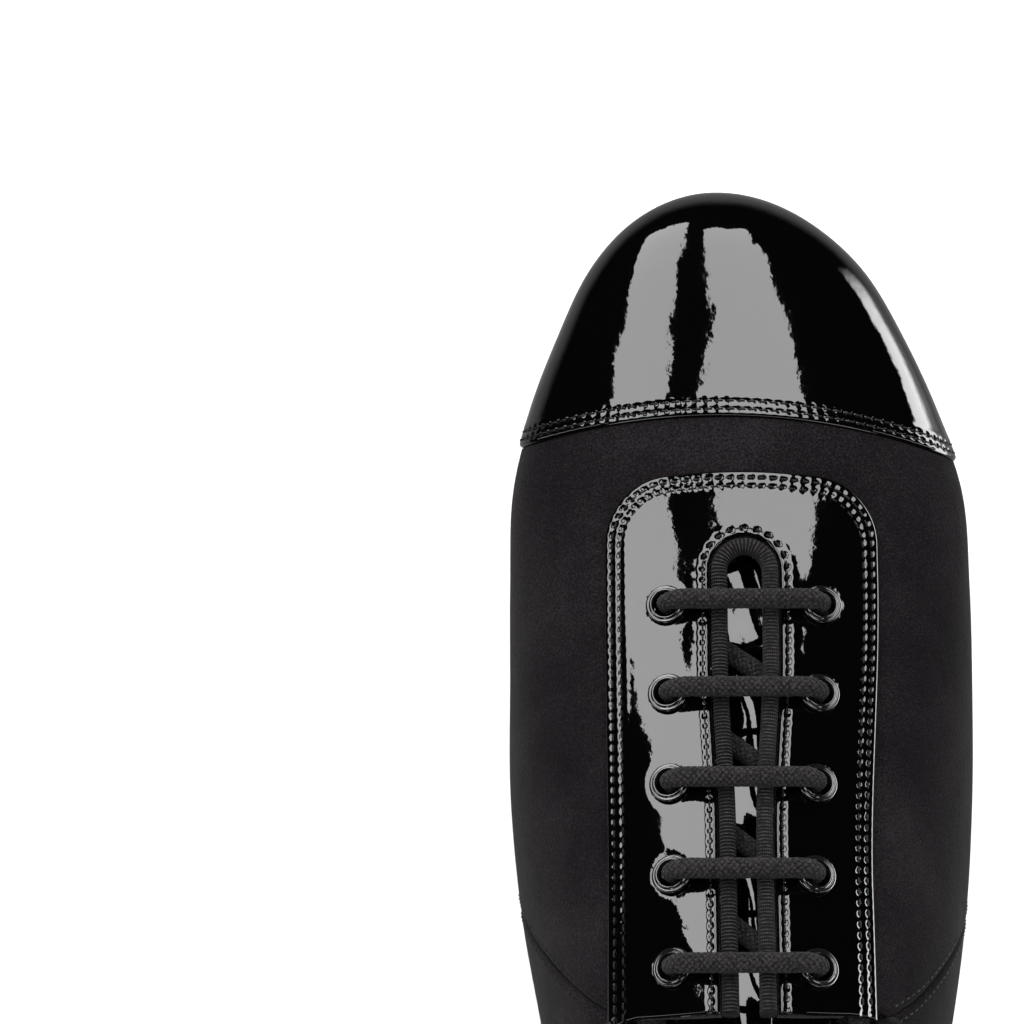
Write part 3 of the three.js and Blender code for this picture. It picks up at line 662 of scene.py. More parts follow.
def ribbed_tape():
    """Grosgrain in one dark yarn, with painted shade in the troughs and painted highlight on the crests of
    its ribs and cross yarns. weave = (mm along, mm across, 0).
    """
    paint = Paint("ribbed_tape", (0.017, 0.0155, 0.0155), 0.8, Sheen_Weight=0.04, Sheen_Roughness=0.4)
    paint.shader.inputs["Specular IOR Level"].default_value = 0.15
    run, over, _ = paint.parts(paint.weave())
    rib = paint.sine(paint.times(run, 2 * math.pi / RIB))
    yarn = paint.sine(paint.times(over, 2 * math.pi / 0.42))
    # Painted highlight and painted shade: lighter on the crests of ribs and yarns, darker in the troughs
    # between them. The uneven noise below is the yarn's own tone.
    rib_crest_shading = paint.times(paint.between(rib, 0, 1, 0.1, 1.0), paint.between(yarn, 0.35, 1, -1, 1))
    uneven = paint.noise(900, 2)
    mixed = paint.times(rib_crest_shading, paint.between(uneven, 0.45, 1.35, 0.3, 0.7), clamp=True)
    paint.link("Base Color", paint.ramp(mixed, [
        (0.0, (0.0024, 0.0021, 0.0023)), (0.4, (0.0120, 0.0104, 0.0108)), (1.0, (0.060, 0.053, 0.054)),
    ]))
    paint.bump(rib, 0.00014, 0.7).bump(yarn, 0.00005, 0.6).bump(uneven, 0.00006, 0.7)
    return paint.done()


def braided_cord():
    """A round braid, with painted highlight on its strands' crests and painted shade in the gaps between
    them. weave = (mm along, turns round, 0).
    """
    paint = Paint("braided_cord", (0.020, 0.018, 0.018), 0.9, Sheen_Weight=0.04, Sheen_Roughness=0.5)
    paint.shader.inputs["Specular IOR Level"].default_value = 0.1
    run, turn, _ = paint.parts(paint.weave())
    left = paint.plus(paint.times(turn, PLAITS * math.pi), paint.times(run, math.pi / PLAIT))
    right = paint.math("SUBTRACT", paint.times(turn, PLAITS * math.pi), paint.times(run, math.pi / PLAIT))
    braid = paint.times(paint.size(paint.sine(left)), paint.size(paint.sine(right)))
    fibre = paint.noise(1700, 3, 0.7)
    # Painted highlight and painted shade: lighter on the strands' crests, darker in the gaps between them.
    # The fibre noise is the cord's own speckle.
    strand_crest_shading = paint.between(braid, 0.5, 1.0, 0, 0.8)
    mixed = paint.times(strand_crest_shading, paint.between(fibre, 0.1, 1.5, 0.32, 0.68), clamp=True)
    paint.link("Base Color", paint.ramp(mixed, [
        (0.0, (0.0016, 0.0015, 0.0015)), (0.42, (0.0052, 0.0048, 0.0048)), (1.0, (0.023, 0.021, 0.0208)),
    ]))
    paint.bump(braid, 0.00022, 0.9).bump(fibre, 0.00016, 0.9)
    return paint.done()


def black_enamel():
    paint = Paint("black_enamel", (0.004, 0.004, 0.0042), 0.08, Coat_Weight=1.0, Coat_Roughness=0.03)
    paint.bump(paint.noise(900, 2), 0.00002).bump(paint.noise(180, 2), 0.00008)
    paint.link("Roughness", paint.between(paint.noise(700, 3), 0.05, 0.16, 0.35, 0.75))
    return paint.done(coat=True)


def sewing_thread():
    paint = Paint("sewing_thread", (0.004, 0.004, 0.004), 0.45)
    paint.shader.inputs["Specular IOR Level"].default_value = 0.16
    twist = paint.sine(paint.times(paint.noise(1600, 1), 14.0))
    paint.link("Base Color", paint.ramp(paint.noise(2200, 2), [
        (0.35, (0.003, 0.003, 0.003)), (0.7, (0.009, 0.0085, 0.0085)),
    ]))
    paint.bump(twist, 0.00004, 0.7)
    return paint.done()


def sole_leather():
    paint = Paint("sole_leather", (0.012, 0.010, 0.0085), 0.42, Coat_Weight=0.25, Coat_Roughness=0.3)
    streak = paint.noise(1, 4, 0.6, at=paint.scaled(paint.place(), (260, 60, 900)))
    pore = paint.cells(1500)
    paint.link("Base Color", paint.ramp(paint.noise(55, 4, 0.6), [
        (0.3, (0.0075, 0.006, 0.005)), (0.6, (0.0145, 0.0115, 0.0095)), (0.8, (0.024, 0.019, 0.0155)),
    ]))
    paint.link("Roughness", paint.between(streak, 0.32, 0.62, 0.3, 0.7))
    paint.bump(streak, 0.00016, 0.5).bump(pore, 0.00006, 0.5).bump(paint.noise(70, 2), 0.0004, 0.4)
    return paint.done()


def heel_stack():
    """Blackened leather lifts: fine dark lines where they meet."""
    paint = Paint("heel_stack", (0.009, 0.008, 0.0072), 0.3, Coat_Weight=0.5, Coat_Roughness=0.16)
    _, _, z = paint.parts(paint.place())
    line = paint.math("POWER", paint.size(paint.sine(paint.times(z, math.pi / 0.0036))), 0.25)
    paint.link("Base Color", paint.ramp(paint.times(line, paint.between(paint.noise(120, 3), 0.6, 1.2)), [
        (0.3, (0.0035, 0.003, 0.0028)), (0.9, (0.0125, 0.0108, 0.0095)),
    ]))
    paint.link("Roughness", paint.between(paint.noise(240, 3), 0.2, 0.45, 0.3, 0.7))
    paint.bump(line, 0.0002, 0.7).bump(paint.noise(1, 3, at=paint.scaled(paint.place(), (700, 700, 150))),
                                       0.00008, 0.6)
    return paint.done()


def fibre_board():
    paint = Paint("fibre_board", (0.13, 0.082, 0.047), 0.78)
    fleck = paint.noise(900, 4, 0.7)
    paint.link("Base Color", paint.ramp(fleck, [
        (0.3, (0.055, 0.033, 0.019)), (0.52, (0.125, 0.078, 0.045)), (0.75, (0.22, 0.145, 0.088)),
    ]))
    layered = paint.noise(1, 3, at=paint.scaled(paint.place(), (90, 90, 2600)))
    paint.bump(layered, 0.00012, 0.6).bump(fleck, 0.00006, 0.7)
    return paint.done()


def heel_rubber():
    paint = Paint("heel_rubber", (0.0095, 0.0095, 0.0098), 0.62)
    paint.link("Base Color", paint.ramp(paint.noise(80, 4), [
        (0.3, (0.0075, 0.0075, 0.0078)), (0.7, (0.0145, 0.0145, 0.0148)),
    ]))
    paint.link("Roughness", paint.between(paint.noise(300, 3), 0.5, 0.75, 0.3, 0.7))
    paint.bump(paint.noise(1700, 2), 0.00005, 0.7).bump(paint.noise(120, 2), 0.0001, 0.5)
    return paint.done()


def tap_alloy():
    """Tumbled aluminium with the small scuffs that a dance floor leaves."""
    paint = Paint("tap_alloy", (0.71, 0.72, 0.735), 0.3, Metallic=1.0)
    scratch = paint.noise(1, 3, 0.6, at=paint.scaled(paint.place(), (2600, 160, 160)), distortion=0.4)
    scuff = paint.noise(1, 3, 0.6, at=paint.scaled(paint.place(), (190, 1900, 190)), distortion=0.6)
    blotch = paint.noise(65, 4, 0.6)
    paint.link("Base Color", paint.ramp(blotch, [
        (0.3, (0.55, 0.56, 0.575)), (0.55, (0.70, 0.71, 0.725)), (0.8, (0.80, 0.81, 0.82)),
    ]))
    both = paint.plus(paint.times(scratch, 0.5), paint.times(scuff, 0.5))
    paint.link("Roughness", paint.between(paint.times(both, paint.between(blotch, 0.7, 1.3)), 0.18, 0.5, 0.3,
                                          0.75))
    paint.bump(scratch, 0.00004, 0.6).bump(scuff, 0.00004, 0.6).bump(blotch, 0.0001, 0.4)
    return paint.done()


def plated_steel():
    paint = Paint("plated_steel", (0.5, 0.505, 0.515), 0.3, Metallic=1.0)
    turned = paint.noise(1, 2, 0.6, at=paint.scaled(paint.place(), (1800, 1800, 300)))
    paint.link("Roughness", paint.between(turned, 0.18, 0.46, 0.3, 0.7))
    paint.link("Base Color", paint.ramp(paint.noise(600, 3), [
        (0.3, (0.32, 0.32, 0.325)), (0.7, (0.58, 0.585, 0.595)),
    ]))
    paint.bump(turned, 0.00004, 0.6)
    return paint.done()


def foam_sock():
    paint = Paint("foam_sock", (0.014, 0.0135, 0.0135), 0.88, Sheen_Weight=0.04)
    x, y, _ = paint.parts(paint.place())
    warp = paint.sine(paint.times(x, 4600.0))
    weft = paint.sine(paint.times(y, 4600.0))
    cloth = paint.times(warp, weft)
    paint.link("Base Color", paint.ramp(paint.between(paint.noise(45, 4), 0, 1, 0.25, 0.75), [
        (0.1, (0.0085, 0.008, 0.008)), (0.9, (0.021, 0.0200, 0.0197)),
    ]))
    paint.bump(paint.noise(50, 2), 0.0008, 0.5).bump(cloth, 0.0001, 0.8)
    return paint.done()


def stiff_cloth():
    paint = Paint("stiff_cloth", (0.5, 0.45, 0.37), 0.9)
    paint.link("Base Color", paint.ramp(paint.noise(500, 4),
                                        [(0.3, (0.36, 0.31, 0.25)), (0.7, (0.55, 0.5, 0.42))]))
    paint.bump(paint.noise(1500, 3), 0.0001, 0.8)
    return paint.done()


def aglet_film():
    paint = Paint("aglet_film", (0.01, 0.01, 0.01), 0.18, Coat_Weight=0.8, Coat_Roughness=0.05)
    paint.link("Base Color", paint.ramp(paint.noise(1500, 3),
                                        [(0.35, (0.006, 0.006, 0.006)), (0.7, (0.02, 0.019, 0.019))]))
    paint.bump(paint.noise(900, 2), 0.00006, 0.6)
    return paint.done(coat=True)


RIB = 0.74  # ribs of the tape
PLAITS = 9  # strands of the braid each way round
PLAIT = 1.15  # their pitch along the cord

PATENT_SKIN = patent_leather()
FABRIC_SKIN = stretch_fabric()
LINING = knit_lining()
TAPE = ribbed_tape()
CORD = braided_cord()
ENAMEL = black_enamel()
THREAD = sewing_thread()
SOLE_SKIN = sole_leather()
STACK = heel_stack()
BOARD = fibre_board()
RUBBER = heel_rubber()
ALLOY = tap_alloy()
STEEL = plated_steel()
FOAM = foam_sock()
CLOTH = stiff_cloth()
FILM = aglet_film()

# ------------------------------------------------------------------ stitching

PITCH = 2.25  # from one needle hole to the next
THREAD_R = 0.26
HOLE_R = 0.40


def stitch_dent(run, depth, rows, strength=1.0):
    """How far stitching draws a panel in. run is mm along the rows, depth mm in from the edge."""
    dent = np.zeros(np.broadcast(run, depth).shape)
    phase = 2 * np.pi * run / PITCH
    for row in rows:
        off = depth - row
        dent -= (0.11 + 0.04 * np.cos(phase)) * np.exp(-((off / 0.42) ** 2))
        along_hole = (np.mod(run + PITCH / 2, PITCH) - PITCH / 2) / HOLE_R
        dent -= 0.30 * np.exp(-(along_hole ** 2) - (off / HOLE_R) ** 2)
    low, high = min(rows), max(rows)
    swell = 0.85 - 0.15 * np.cos(phase)
    dent += 0.05 * np.exp(-(((depth - (low + high) / 2) / 0.45) ** 2)) * swell
    dent += 0.06 * np.exp(-(((depth - high - 0.9) / 0.6) ** 2)) * swell
    dent += 0.03 * np.exp(-(((depth - low + 0.8) / 0.45) ** 2)) * swell
    return strength * dent


def stitches(name, place, length, body="shoe"):
    """One row of stitches. place(run, rise) gives points run mm along the row."""
    count = int(length / PITCH)
    t = np.array([0.1, 0.24, 0.5, 0.76, 0.9])
    rise = np.array([-0.42, -0.1, 0.02, -0.1, -0.42])
    thick = np.array([0.55, 0.95, 1.0, 0.95, 0.55]) * THREAD_R
    run = (np.arange(count)[:, None] + t) * PITCH
    rise = rise + rng.normal(0, 0.02, (count, 1))
    centre = place(run, np.broadcast_to(rise, run.shape))
    above = place(run, rise + 1.0)
    tangent = unit(np.gradient(centre, axis=1))
    normal = above - centre
    normal = unit(normal - tangent * (normal * tangent).sum(-1, keepdims=True))
    across = np.cross(tangent, normal)
    ring = circle(6)
    verts = centre[:, :, None] + thick[None, :, None, None] * (
        ring[:, :1] * across[:, :, None] + ring[:, 1:] * normal[:, :, None]
    )
    single = grid_quads(5, 6, wrap=True).tolist() + [[5, 4, 3, 2, 1, 0], [24, 25, 26, 27, 28, 29]]
    faces = [[v + 30 * k for v in f] for k in range(count) for f in single]
    return make_mesh(name, verts.reshape(-1, 3), faces, THREAD, body=body)


def length_along(points):
    return np.concatenate([[0], np.cumsum(np.linalg.norm(np.diff(points, axis=0), axis=-1))])


# ------------------------------------------------------------------ toe cap, vamp and quarters


def reach(w, limit, start, drop_w=None):
    """tau at which each line along the shoe comes to the world s that limit(x, z) gives."""
    s = np.full(np.shape(w), float(start))
    for _ in range(40):
        at = drop_w(tau_at(s)) if drop_w else w
        p = skin(tau_at(s), at)
        s = np.clip(s + 0.55 * (limit(p[..., 0], p[..., 2]) - (TIP_Y - p[..., 1])), 0.5, LENGTH - 0.01)
    return tau_at(s)


ROUND_W = np.linspace(-FEATHER, CROWN + FEATHER, 381)
EDGE_ROWS = (1.4, 3.1)
TUCK = 2.2  # how far the vamp runs on under the toe cap


def toe_cap():
    seam = reach(ROUND_W, lambda x, z: cap_line(x), 50)
    near = np.concatenate([[0, 0.15], np.arange(0.35, 7.0, 0.35)])
    far = np.linspace(0, 1, 56)[1:]
    s_seam = s_at(seam)
    tau_near = tau_at(s_seam[None] - near[:, None])
    tau_far = tau_near[-1][None] * (1 - far[:, None])
    tau = np.vstack([tau_near, tau_far])
    w = np.broadcast_to(ROUND_W, tau.shape)
    depth = s_seam[None] - s_at(tau)
    run = np.broadcast_to(length_along(skin(tau_at(s_seam - 2.6), ROUND_W, 0.8)), tau.shape)
    dent = np.where(depth < 8, stitch_dent(run, depth, EDGE_ROWS), 0)
    half = 1.0 * edge_round(depth + 0.05, 0.9)

    def surface(rise):
        return skin(tau, w, rise)

    cap = sheet_mesh("toe_cap_patent", surface, tau.shape, -0.2 + half + dent, -0.2 - half, PATENT_SKIN,
                     slot="patent", replaces=["toe_cap"])
    weld(cap)
    whole = run[0, -1]
    for k, row in enumerate(EDGE_ROWS):

        def place(at, rise, row=row):
            column = np.interp(at, run[0], ROUND_W)
            s = np.interp(at, run[0], s_seam) - row
            return skin(tau_at(s), column, 0.72 + rise)

        stitches(f"toe_cap_stitches_{k + 1}", place, whole)


toe_cap()

PANEL_HOLE = panel_outline(5.5, 200)


def rear_line(x, z):
    """World s at which the vamp ends: the side seam, or the top line less its tape."""
    tape = np.interp(z, TOP_LINE[::-1, 1][-60:], TOP_LINE[::-1, 0][-60:]) - ANKLE_TAPE
    return np.minimum(line_s(SEAM, z), tape)


def vamp():
    w = np.linspace(-FEATHER, CROWN + FEATHER, 301)
    front = reach(w, lambda x, z: cap_line(x) - TUCK, 46)
    back = reach(w, rear_line, 155)
    rows = np.linspace(0, 1, 150)[:, None]
    tau = tau_at(mix(s_at(front)[None], s_at(back)[None], rows))
    across = np.broadcast_to(w, tau.shape)
    base = skin(tau, across)
    flat = np.stack([base[..., 0], TIP_Y - base[..., 1]], -1)
    centre = (flat[1:, 1:] + flat[:-1, 1:] + flat[1:, :-1] + flat[:-1, :-1]) / 4
    middle = (across[1:, 1:] + across[:-1, :-1]) / 2
    keep = ~(inside(PANEL_HOLE, centre) & (middle > 0.02) & (middle < CROWN - 0.02))
    from_front = s_at(tau) - s_at(front)[None]
    from_back = s_at(back)[None] - s_at(tau)
    half = 0.9 * edge_round(np.minimum(from_front, from_back) + 0.1, 0.9)
    sunk = 1.5 * (1 - ease(TUCK - 0.9, TUCK + 0.35, from_front))
    # Under the panel the cut edge follows the panel's outline.
    line = spread(PANEL_HOLE, 900)
    place, off, _ = nearest(line, flat)
    close = (off < 0.75) & (across > 0.02) & (across < CROWN - 0.02) & (flat[..., 1] < 160)
    snapped = np.where(close[..., None], place, flat)
    tau = np.where(close, tau_at(snapped[..., 1]), tau)
    across = np.where(close, w_across(snapped[..., 0], snapped[..., 1]), across)
    vamp_cloth = sheet_mesh("vamp_fabric", lambda rise: skin(tau, across, rise), tau.shape,
                            -0.9 + half - sunk,
                            -0.9 - half - sunk, FABRIC_SKIN, keep=keep, under=LINING, slot="stretch_fabric",
                            replaces=["vamp"])


SEAM_TOP = 166.0  # where the side seams meet the top line


def side_grid(side, line, gap, drop, columns, rows, last=1.0):
    """tau and w over one side, from a seam line to the heel's middle and from the sole to the top line."""
    v = np.linspace(0, 1, rows)
    low = -FEATHER if side > 0 else CROWN + FEATHER

    def w_of(tau, v):
        """No side reaches the steep top line ahead of the seams, so the rows keep their height there."""
        return mix(low, top_w(np.maximum(tau, tau_at(SEAM_TOP)), drop, side), v)

    start = reach(v, lambda x, z: line_s(line, z) + gap, 200, drop_w=lambda tau: w_of(tau, v))
    u = np.linspace(0, 1, columns)[None]
    tau = mix(start[:, None], last, u)
    return tau, w_of(tau, v[:, None])


def quarter(side):
    name = "lateral" if side > 0 else "medial"
    tau, w = side_grid(side, SEAM, GAP, ANKLE_TAPE, 150, 70, last=0.9975)
    edge = s_at(tau) - s_at(tau[:, :1])
    half = 0.9 * edge_round(edge + 0.1, 0.9)
    cloth = sheet_mesh(f"quarter_{name}_fabric", lambda rise: skin(tau, w, rise), tau.shape, -0.9 + half,
                       -0.9 - half, FABRIC_SKIN, under=LINING, slot="stretch_fabric",
                       replaces=[f"quarter_{name}"])
    for k, offset in enumerate((1.7, -2.0)):
        run = length_along(skin(tau[:, 0], w[:, 0]))

        def place(at, rise, offset=offset):
            s = np.interp(at, run, s_at(tau[:, 0])) + offset
            return skin(tau_at(s), np.interp(at, run, w[:, 0]), -0.06 + rise)

        stitches(f"side_seam_stitches_{name}_{k + 1}", place, run[-1] - 1)


def around_heel(line, gap, drop, columns, rows):
    """The two sides as one grid that passes round the heel."""
    tau_a, w_a = side_grid(1, line, gap, drop, columns, rows)
    tau_b, w_b = side_grid(-1, line, gap, drop, columns, rows)

    def surface(rise):
        rise = np.broadcast_to(rise, (rows, 2 * columns - 1))
        one = skin(tau_a, w_a, rise[:, :columns])
        two = skin(tau_b, w_b, rise[:, ::-1][:, :columns])
        middle = (one[:, -1:] + two[:, -1:]) / 2
        return np.concatenate([one[:, :-1], middle, two[:, :-1][:, ::-1]], 1)

    depth = np.concatenate([s_at(tau_a) - s_at(tau_a[:, :1]),
                            (s_at(tau_b) - s_at(tau_b[:, :1]))[:, ::-1][:, 1:]], 1)
    return surface, depth, (tau_a, w_a), (tau_b, w_b)


def heel_counter():
    surface, depth, one, two = around_heel(COUNTER, 0, ANKLE_TAPE + GAP, 170, 90)
    run = length_along(surface(1.6)[:, 8])[:, None]
    dent = np.where(depth < 8, stitch_dent(run, depth, EDGE_ROWS), 0)
    half = 0.65 * edge_round(depth + 0.05, 0.8)
    sheet_mesh("heel_counter_patent", surface, depth.shape, 0.95 + half + dent, 0.95 - half, PATENT_SKIN,
               slot="patent", replaces=["heel_counter"])
    for name, (tau, w) in (("lateral", one), ("medial", two)):
        for k, row in enumerate(EDGE_ROWS):

            def place(at, rise, tau=tau, w=w, row=row):
                s = np.interp(at, run[:, 0], s_at(tau[:, 0])) + row
                return skin(tau_at(s), np.interp(at, run[:, 0], w[:, 0]), 1.52 + rise)

            stitches(f"counter_stitches_{name}_{k + 1}", place, run[-1, 0] - 1)


def inner_layers():
    surface, depth, _, _ = around_heel(SEAM, 2, ANKLE_TAPE + GAP, 110, 50)
    lining = sheet_mesh("quarter_lining_cloth", surface, depth.shape, -3.3, -4.5, LINING,
                        slot="lining_fabric", replaces=["quarter_lining"])
    stiff = np.array([[205, -20], [212, 60], [214, 120]], float)
    surface, depth, _, _ = around_heel(stiff, 0, 12, 70, 30)
    sheet_mesh("counter_stiffener_cloth", surface, depth.shape, -2.1, -3.0, CLOTH,
               slot="stiffener", replaces=["counter_stiffener"])
    w = np.linspace(-0.09, CROWN + 0.09, 121)
    edge = reach(w, lambda x, z: cap_line(x) - 8.6, 42)
    tau = edge[None] * np.linspace(1, 0, 30)[:, None]
    puff = sheet_mesh("toe_puff_cloth", lambda rise: skin(tau, np.broadcast_to(w, tau.shape), rise),
                      tau.shape,
                      -1.5, -2.4, CLOTH, slot="stiffener", replaces=["toe_puff"])
    weld(puff)


vamp()
quarter(1)
quarter(-1)
heel_counter()
inner_layers()


# ------------------------------------------------------------------ lace panel, tape, tongue

LEG_FROM = 84.0
FRONT_STEPS = 118
LEG_STEPS = 200
SLOT_ROW = 1.35


def throat_table():
    x = np.linspace(0, 32, 65)
    s = np.full(65, 165.0)
    for _ in range(30):
        z = crown(x, s)[..., 2]
        s = s + 0.5 * (np.interp(z, TOP_LINE[::-1, 1][-60:], TOP_LINE[::-1, 0][-60:]) - s)
    return x, s


THROAT = throat_table()


def end_at(x):
    """World s at which the top line cuts the crown, x across."""
    return np.interp(np.abs(x), *THROAT)


def by_law(outline):
    """An outline resampled so that outlines of one kind match point for point, ending on the top line."""
    middle = int(np.argmin(outline[:, 1]))
    return np.vstack([half_by_law(outline[middle::-1])[:0:-1], half_by_law(outline[middle:])])


def half_by_law(half):
    turn = int(np.searchsorted(half[:, 1], LEG_FROM))
    x = np.interp(LEG_FROM, half[:, 1], half[:, 0])
    front = spread(np.vstack([half[:turn], [[x, LEG_FROM]]]), FRONT_STEPS + 1)
    s = np.linspace(LEG_FROM, half[-1, 1], LEG_STEPS + 1)[1:]
    leg = np.stack([np.interp(s, half[:, 1], half[:, 0]), s], -1)
    stop = float(end_at(leg[-1:, 0])[0])
    leg[:, 1] = LEG_FROM + (leg[:, 1] - LEG_FROM) * (stop - LEG_FROM) / (leg[-1, 1] - LEG_FROM)
    return np.vstack([front, leg])


def band_grid(outer_inset, rows_out, rows_in, rows_between):
    """[x, s] over the panel: rows that follow its outer edge, then rows that follow the slot."""
    outer = [by_law(panel_outline(outer_inset + d)) for d in rows_out]
    inner = [by_law(slot_outline(-GAP - d)) for d in rows_in[::-1]]
    between = [mix(outer[-1], inner[0], t) for t in np.linspace(0, 1, rows_between + 2)[1:-1]]
    return np.stack(outer + between + inner)


def to_line(line, points):
    _, off, index = nearest(line, points)
    return off, index


def lace_panel():
    rows_out = np.concatenate([[0, 0.14], np.arange(0.4, 5.9, 0.33)])
    rows_in = np.concatenate([[0, 0.14], np.arange(0.4, 3.0, 0.33)])
    flat = band_grid(0, rows_out, rows_in, 13)
    edge_line = flat[0]
    slot_line = flat[-1]
    off_edge, at_edge = to_line(edge_line, flat)
    off_slot, at_slot = to_line(slot_line, flat)
    edge_run = length_along(crown(edge_line[:, 0], edge_line[:, 1], 1.6))
    slot_run = length_along(crown(slot_line[:, 0], slot_line[:, 1], 1.6))
    dent = np.where(off_edge < 7, stitch_dent(edge_run[at_edge], off_edge, EDGE_ROWS), 0)
    dent += np.where(off_slot < 4.5, stitch_dent(slot_run[at_slot], off_slot, (SLOT_ROW,), 1.25), 0)
    keep = np.ones((flat.shape[0] - 1, flat.shape[1] - 1), bool)
    centre = (flat[1:, 1:] + flat[:-1, 1:] + flat[1:, :-1] + flat[:-1, :-1]) / 4
    for e in EYELETS:
        tilt = abs(e["axis"][2])
        off = (flat - [e["x"], e["s"]]) / [tilt, 1]
        r = np.linalg.norm(off, axis=-1)
        dent -= 0.22 * np.exp(-((np.maximum(r - 3.6, 0) / 1.0) ** 2)) * (r < 8)
        keep &= np.linalg.norm((centre - [e["x"], e["s"]]) / [tilt, 1], axis=-1) > 3.3
    half = 0.65 * edge_round(np.minimum(off_edge, off_slot) + 0.04, 0.75)

    def surface(rise):
        return crown(flat[..., 0], flat[..., 1], rise)

    sheet_mesh("lace_panel_patent", surface, flat.shape[:2], 0.95 + half + dent, 0.95 - half, PATENT_SKIN,
               keep=keep, under=LINING, slot="patent", replaces=["lace_panel"])
    for k, row in enumerate(EDGE_ROWS):
        line = by_law(panel_outline(row))

        def place(at, rise, line=line):
            run = length_along(crown(line[:, 0], line[:, 1], 1.5))
            x, s = np.interp(at, run, line[:, 0]), np.interp(at, run, line[:, 1])
            return crown(x, s, 1.52 + rise)

        stitches(f"panel_stitches_{k + 1}", place, length_along(crown(line[:, 0], line[:, 1], 1.5))[-1] - 1)
    line = by_law(slot_outline(-GAP - SLOT_ROW))

    def beside_slot(at, rise):
        run = length_along(crown(line[:, 0], line[:, 1], 1.5))
        return crown(np.interp(at, run, line[:, 0]), np.interp(at, run, line[:, 1]), 1.5 + rise)

    stitches("slot_stitches", beside_slot, length_along(crown(line[:, 0], line[:, 1], 1.5))[-1] - 1)

    stay = band_grid(5.8, np.array([0, 0.2, 0.6, 1.2]), np.array([0, 0.2, 0.6, 1.2]), 16)[:, ::3]
    centre = (stay[1:, 1:] + stay[:-1, 1:] + stay[1:, :-1] + stay[:-1, :-1]) / 4
    keep = np.ones(centre.shape[:2], bool)
    for e in EYELETS:
        keep &= np.linalg.norm(centre - [e["x"], e["s"]], axis=-1) > 3.4
    stay_cloth = sheet_mesh("eyelet_stay_cloth", lambda rise: crown(stay[..., 0], stay[..., 1], rise),
                            stay.shape[:2], 0.0, -1.8, LINING, keep=keep, slot="lining_fabric",
                            replaces=["eyelet_stay"])


def superellipse(count, half_one, half_two, power, shift=0.0):
    a = np.linspace(0, 2 * np.pi, count, endpoint=False)
    c, s = np.cos(a), np.sin(a)
    return np.stack([
        half_one * np.sign(c) * np.abs(c) ** (2 / power),
        shift + half_two * np.sign(s) * np.abs(s) ** (2 / power),
    ], -1)


def ribbed(name, path, one, two, ring, **options):
    """A tape with raised ribs carried along a path."""
    run = length_along(path)
    swell = 1 + 0.035 * np.cos(2 * np.pi * run / RIB)[:, None, None]
    centre = ring.mean(0)
    profile = centre + (ring - centre) * swell
    around = length_along(np.vstack([ring, ring[:1]]))[:-1]
    weave = np.zeros((len(path), len(ring), 3))
    weave[..., 0] = run[:, None]
    weave[..., 1] = around[None]
    ends = np.zeros((2, 3))
    return sweep(name, path, one, two, profile, TAPE, weave=np.vstack([weave.reshape(-1, 3), ends]),
                 **options)


def throat_binding():
    line = slot_outline(BINDING / 2, 170)
    line = line[line[:, 1] < end_at(line[:, 0])]
    fine = spread(line, 1650)
    path = crown(fine[:, 0], fine[:, 1])
    up = crown_normal(fine[:, 0], fine[:, 1])
    run = unit(np.gradient(path, axis=0))
    up = unit(up - run * (up * run).sum(-1, keepdims=True))
    ring = superellipse(18, BINDING / 2, 2.2, 2.6, 0.05)
    ribbed("throat_binding_tape", path, np.cross(run, up), up, ring, slot="binding_tape",
           replaces=["throat_binding"])


def top_binding():
    sides = []
    for side in (1, -1):
        s_world, z = TOP_LINE[:, 0], TOP_LINE[:, 1] - 1.6
        s = s_world.copy()
        for _ in range(20):
            s = s_world + heel_lean(s, z)
        good = s < LENGTH - 0.02
        tau = tau_at(s[good])
        wide, top, power = along(5, tau), along(4, tau), along(6, tau)
        w = CROWN * np.arcsin(np.clip((z[good] - wide) / (top - wide), 0, 1) ** (power / 2)) / np.pi
        w = w if side > 0 else CROWN - w
        points = skin(tau, w, -1.55)
        clear = np.abs(points[:, 0]) + 0.03 * (s[good] - 160) > 25.6
        first = int(np.argmax(clear))
        sides.append((points[first:], skin(tau, w, -0.55)[first:] - points[first:]))
    path = np.vstack([sides[0][0], sides[1][0][::-1]])
    normal = np.vstack([sides[0][1], sides[1][1][::-1]])
    both = spread(np.hstack([path, normal]), 1500)
    path, out = smooth_rows(both[:, :3], 9), unit(smooth_rows(both[:, 3:], 25))
    run = unit(np.gradient(path, axis=0))
    out = unit(out - run * (out * run).sum(-1, keepdims=True))
    ring = superellipse(26, 3.45, 1.85, 2.5)
    ribbed("top_line_binding_tape", path, out, np.cross(run, out), ring, slot="binding_tape",
           replaces=["top_line_binding"])


def smooth_rows(rows, reach_rows):
    """Rows averaged with their neighbours, both ends kept."""
    kernel = np.ones(reach_rows) / reach_rows
    pad = reach_rows // 2
    padded = np.pad(rows, ((pad, pad), (0, 0)), mode="reflect", reflect_type="odd")
    return np.stack([np.convolve(padded[:, k], kernel, "valid") for k in range(rows.shape[1])], -1)


TONGUE_FRONT = 64.0
TONGUE_END = 186.0
TONGUE_RISE = -7.8


def tongue_half(s):
    plain = mix(21, 23.5, ease(70, 150, s)) * (1 - 0.35 * ease(160, TONGUE_END, s))
    front = np.sqrt(np.clip(1 - ((TONGUE_FRONT + 5 - s) / 5.0) ** 2, 0, 1)) * 0.25 + 0.75
    back = np.sqrt(np.clip(1 - ((s - TONGUE_END + 9) / 9.0) ** 2, 0, 1)) * 0.55 + 0.45
    return plain * np.where(s < TONGUE_FRONT + 5, front, 1) * np.where(s > TONGUE_END - 9, back, 1)


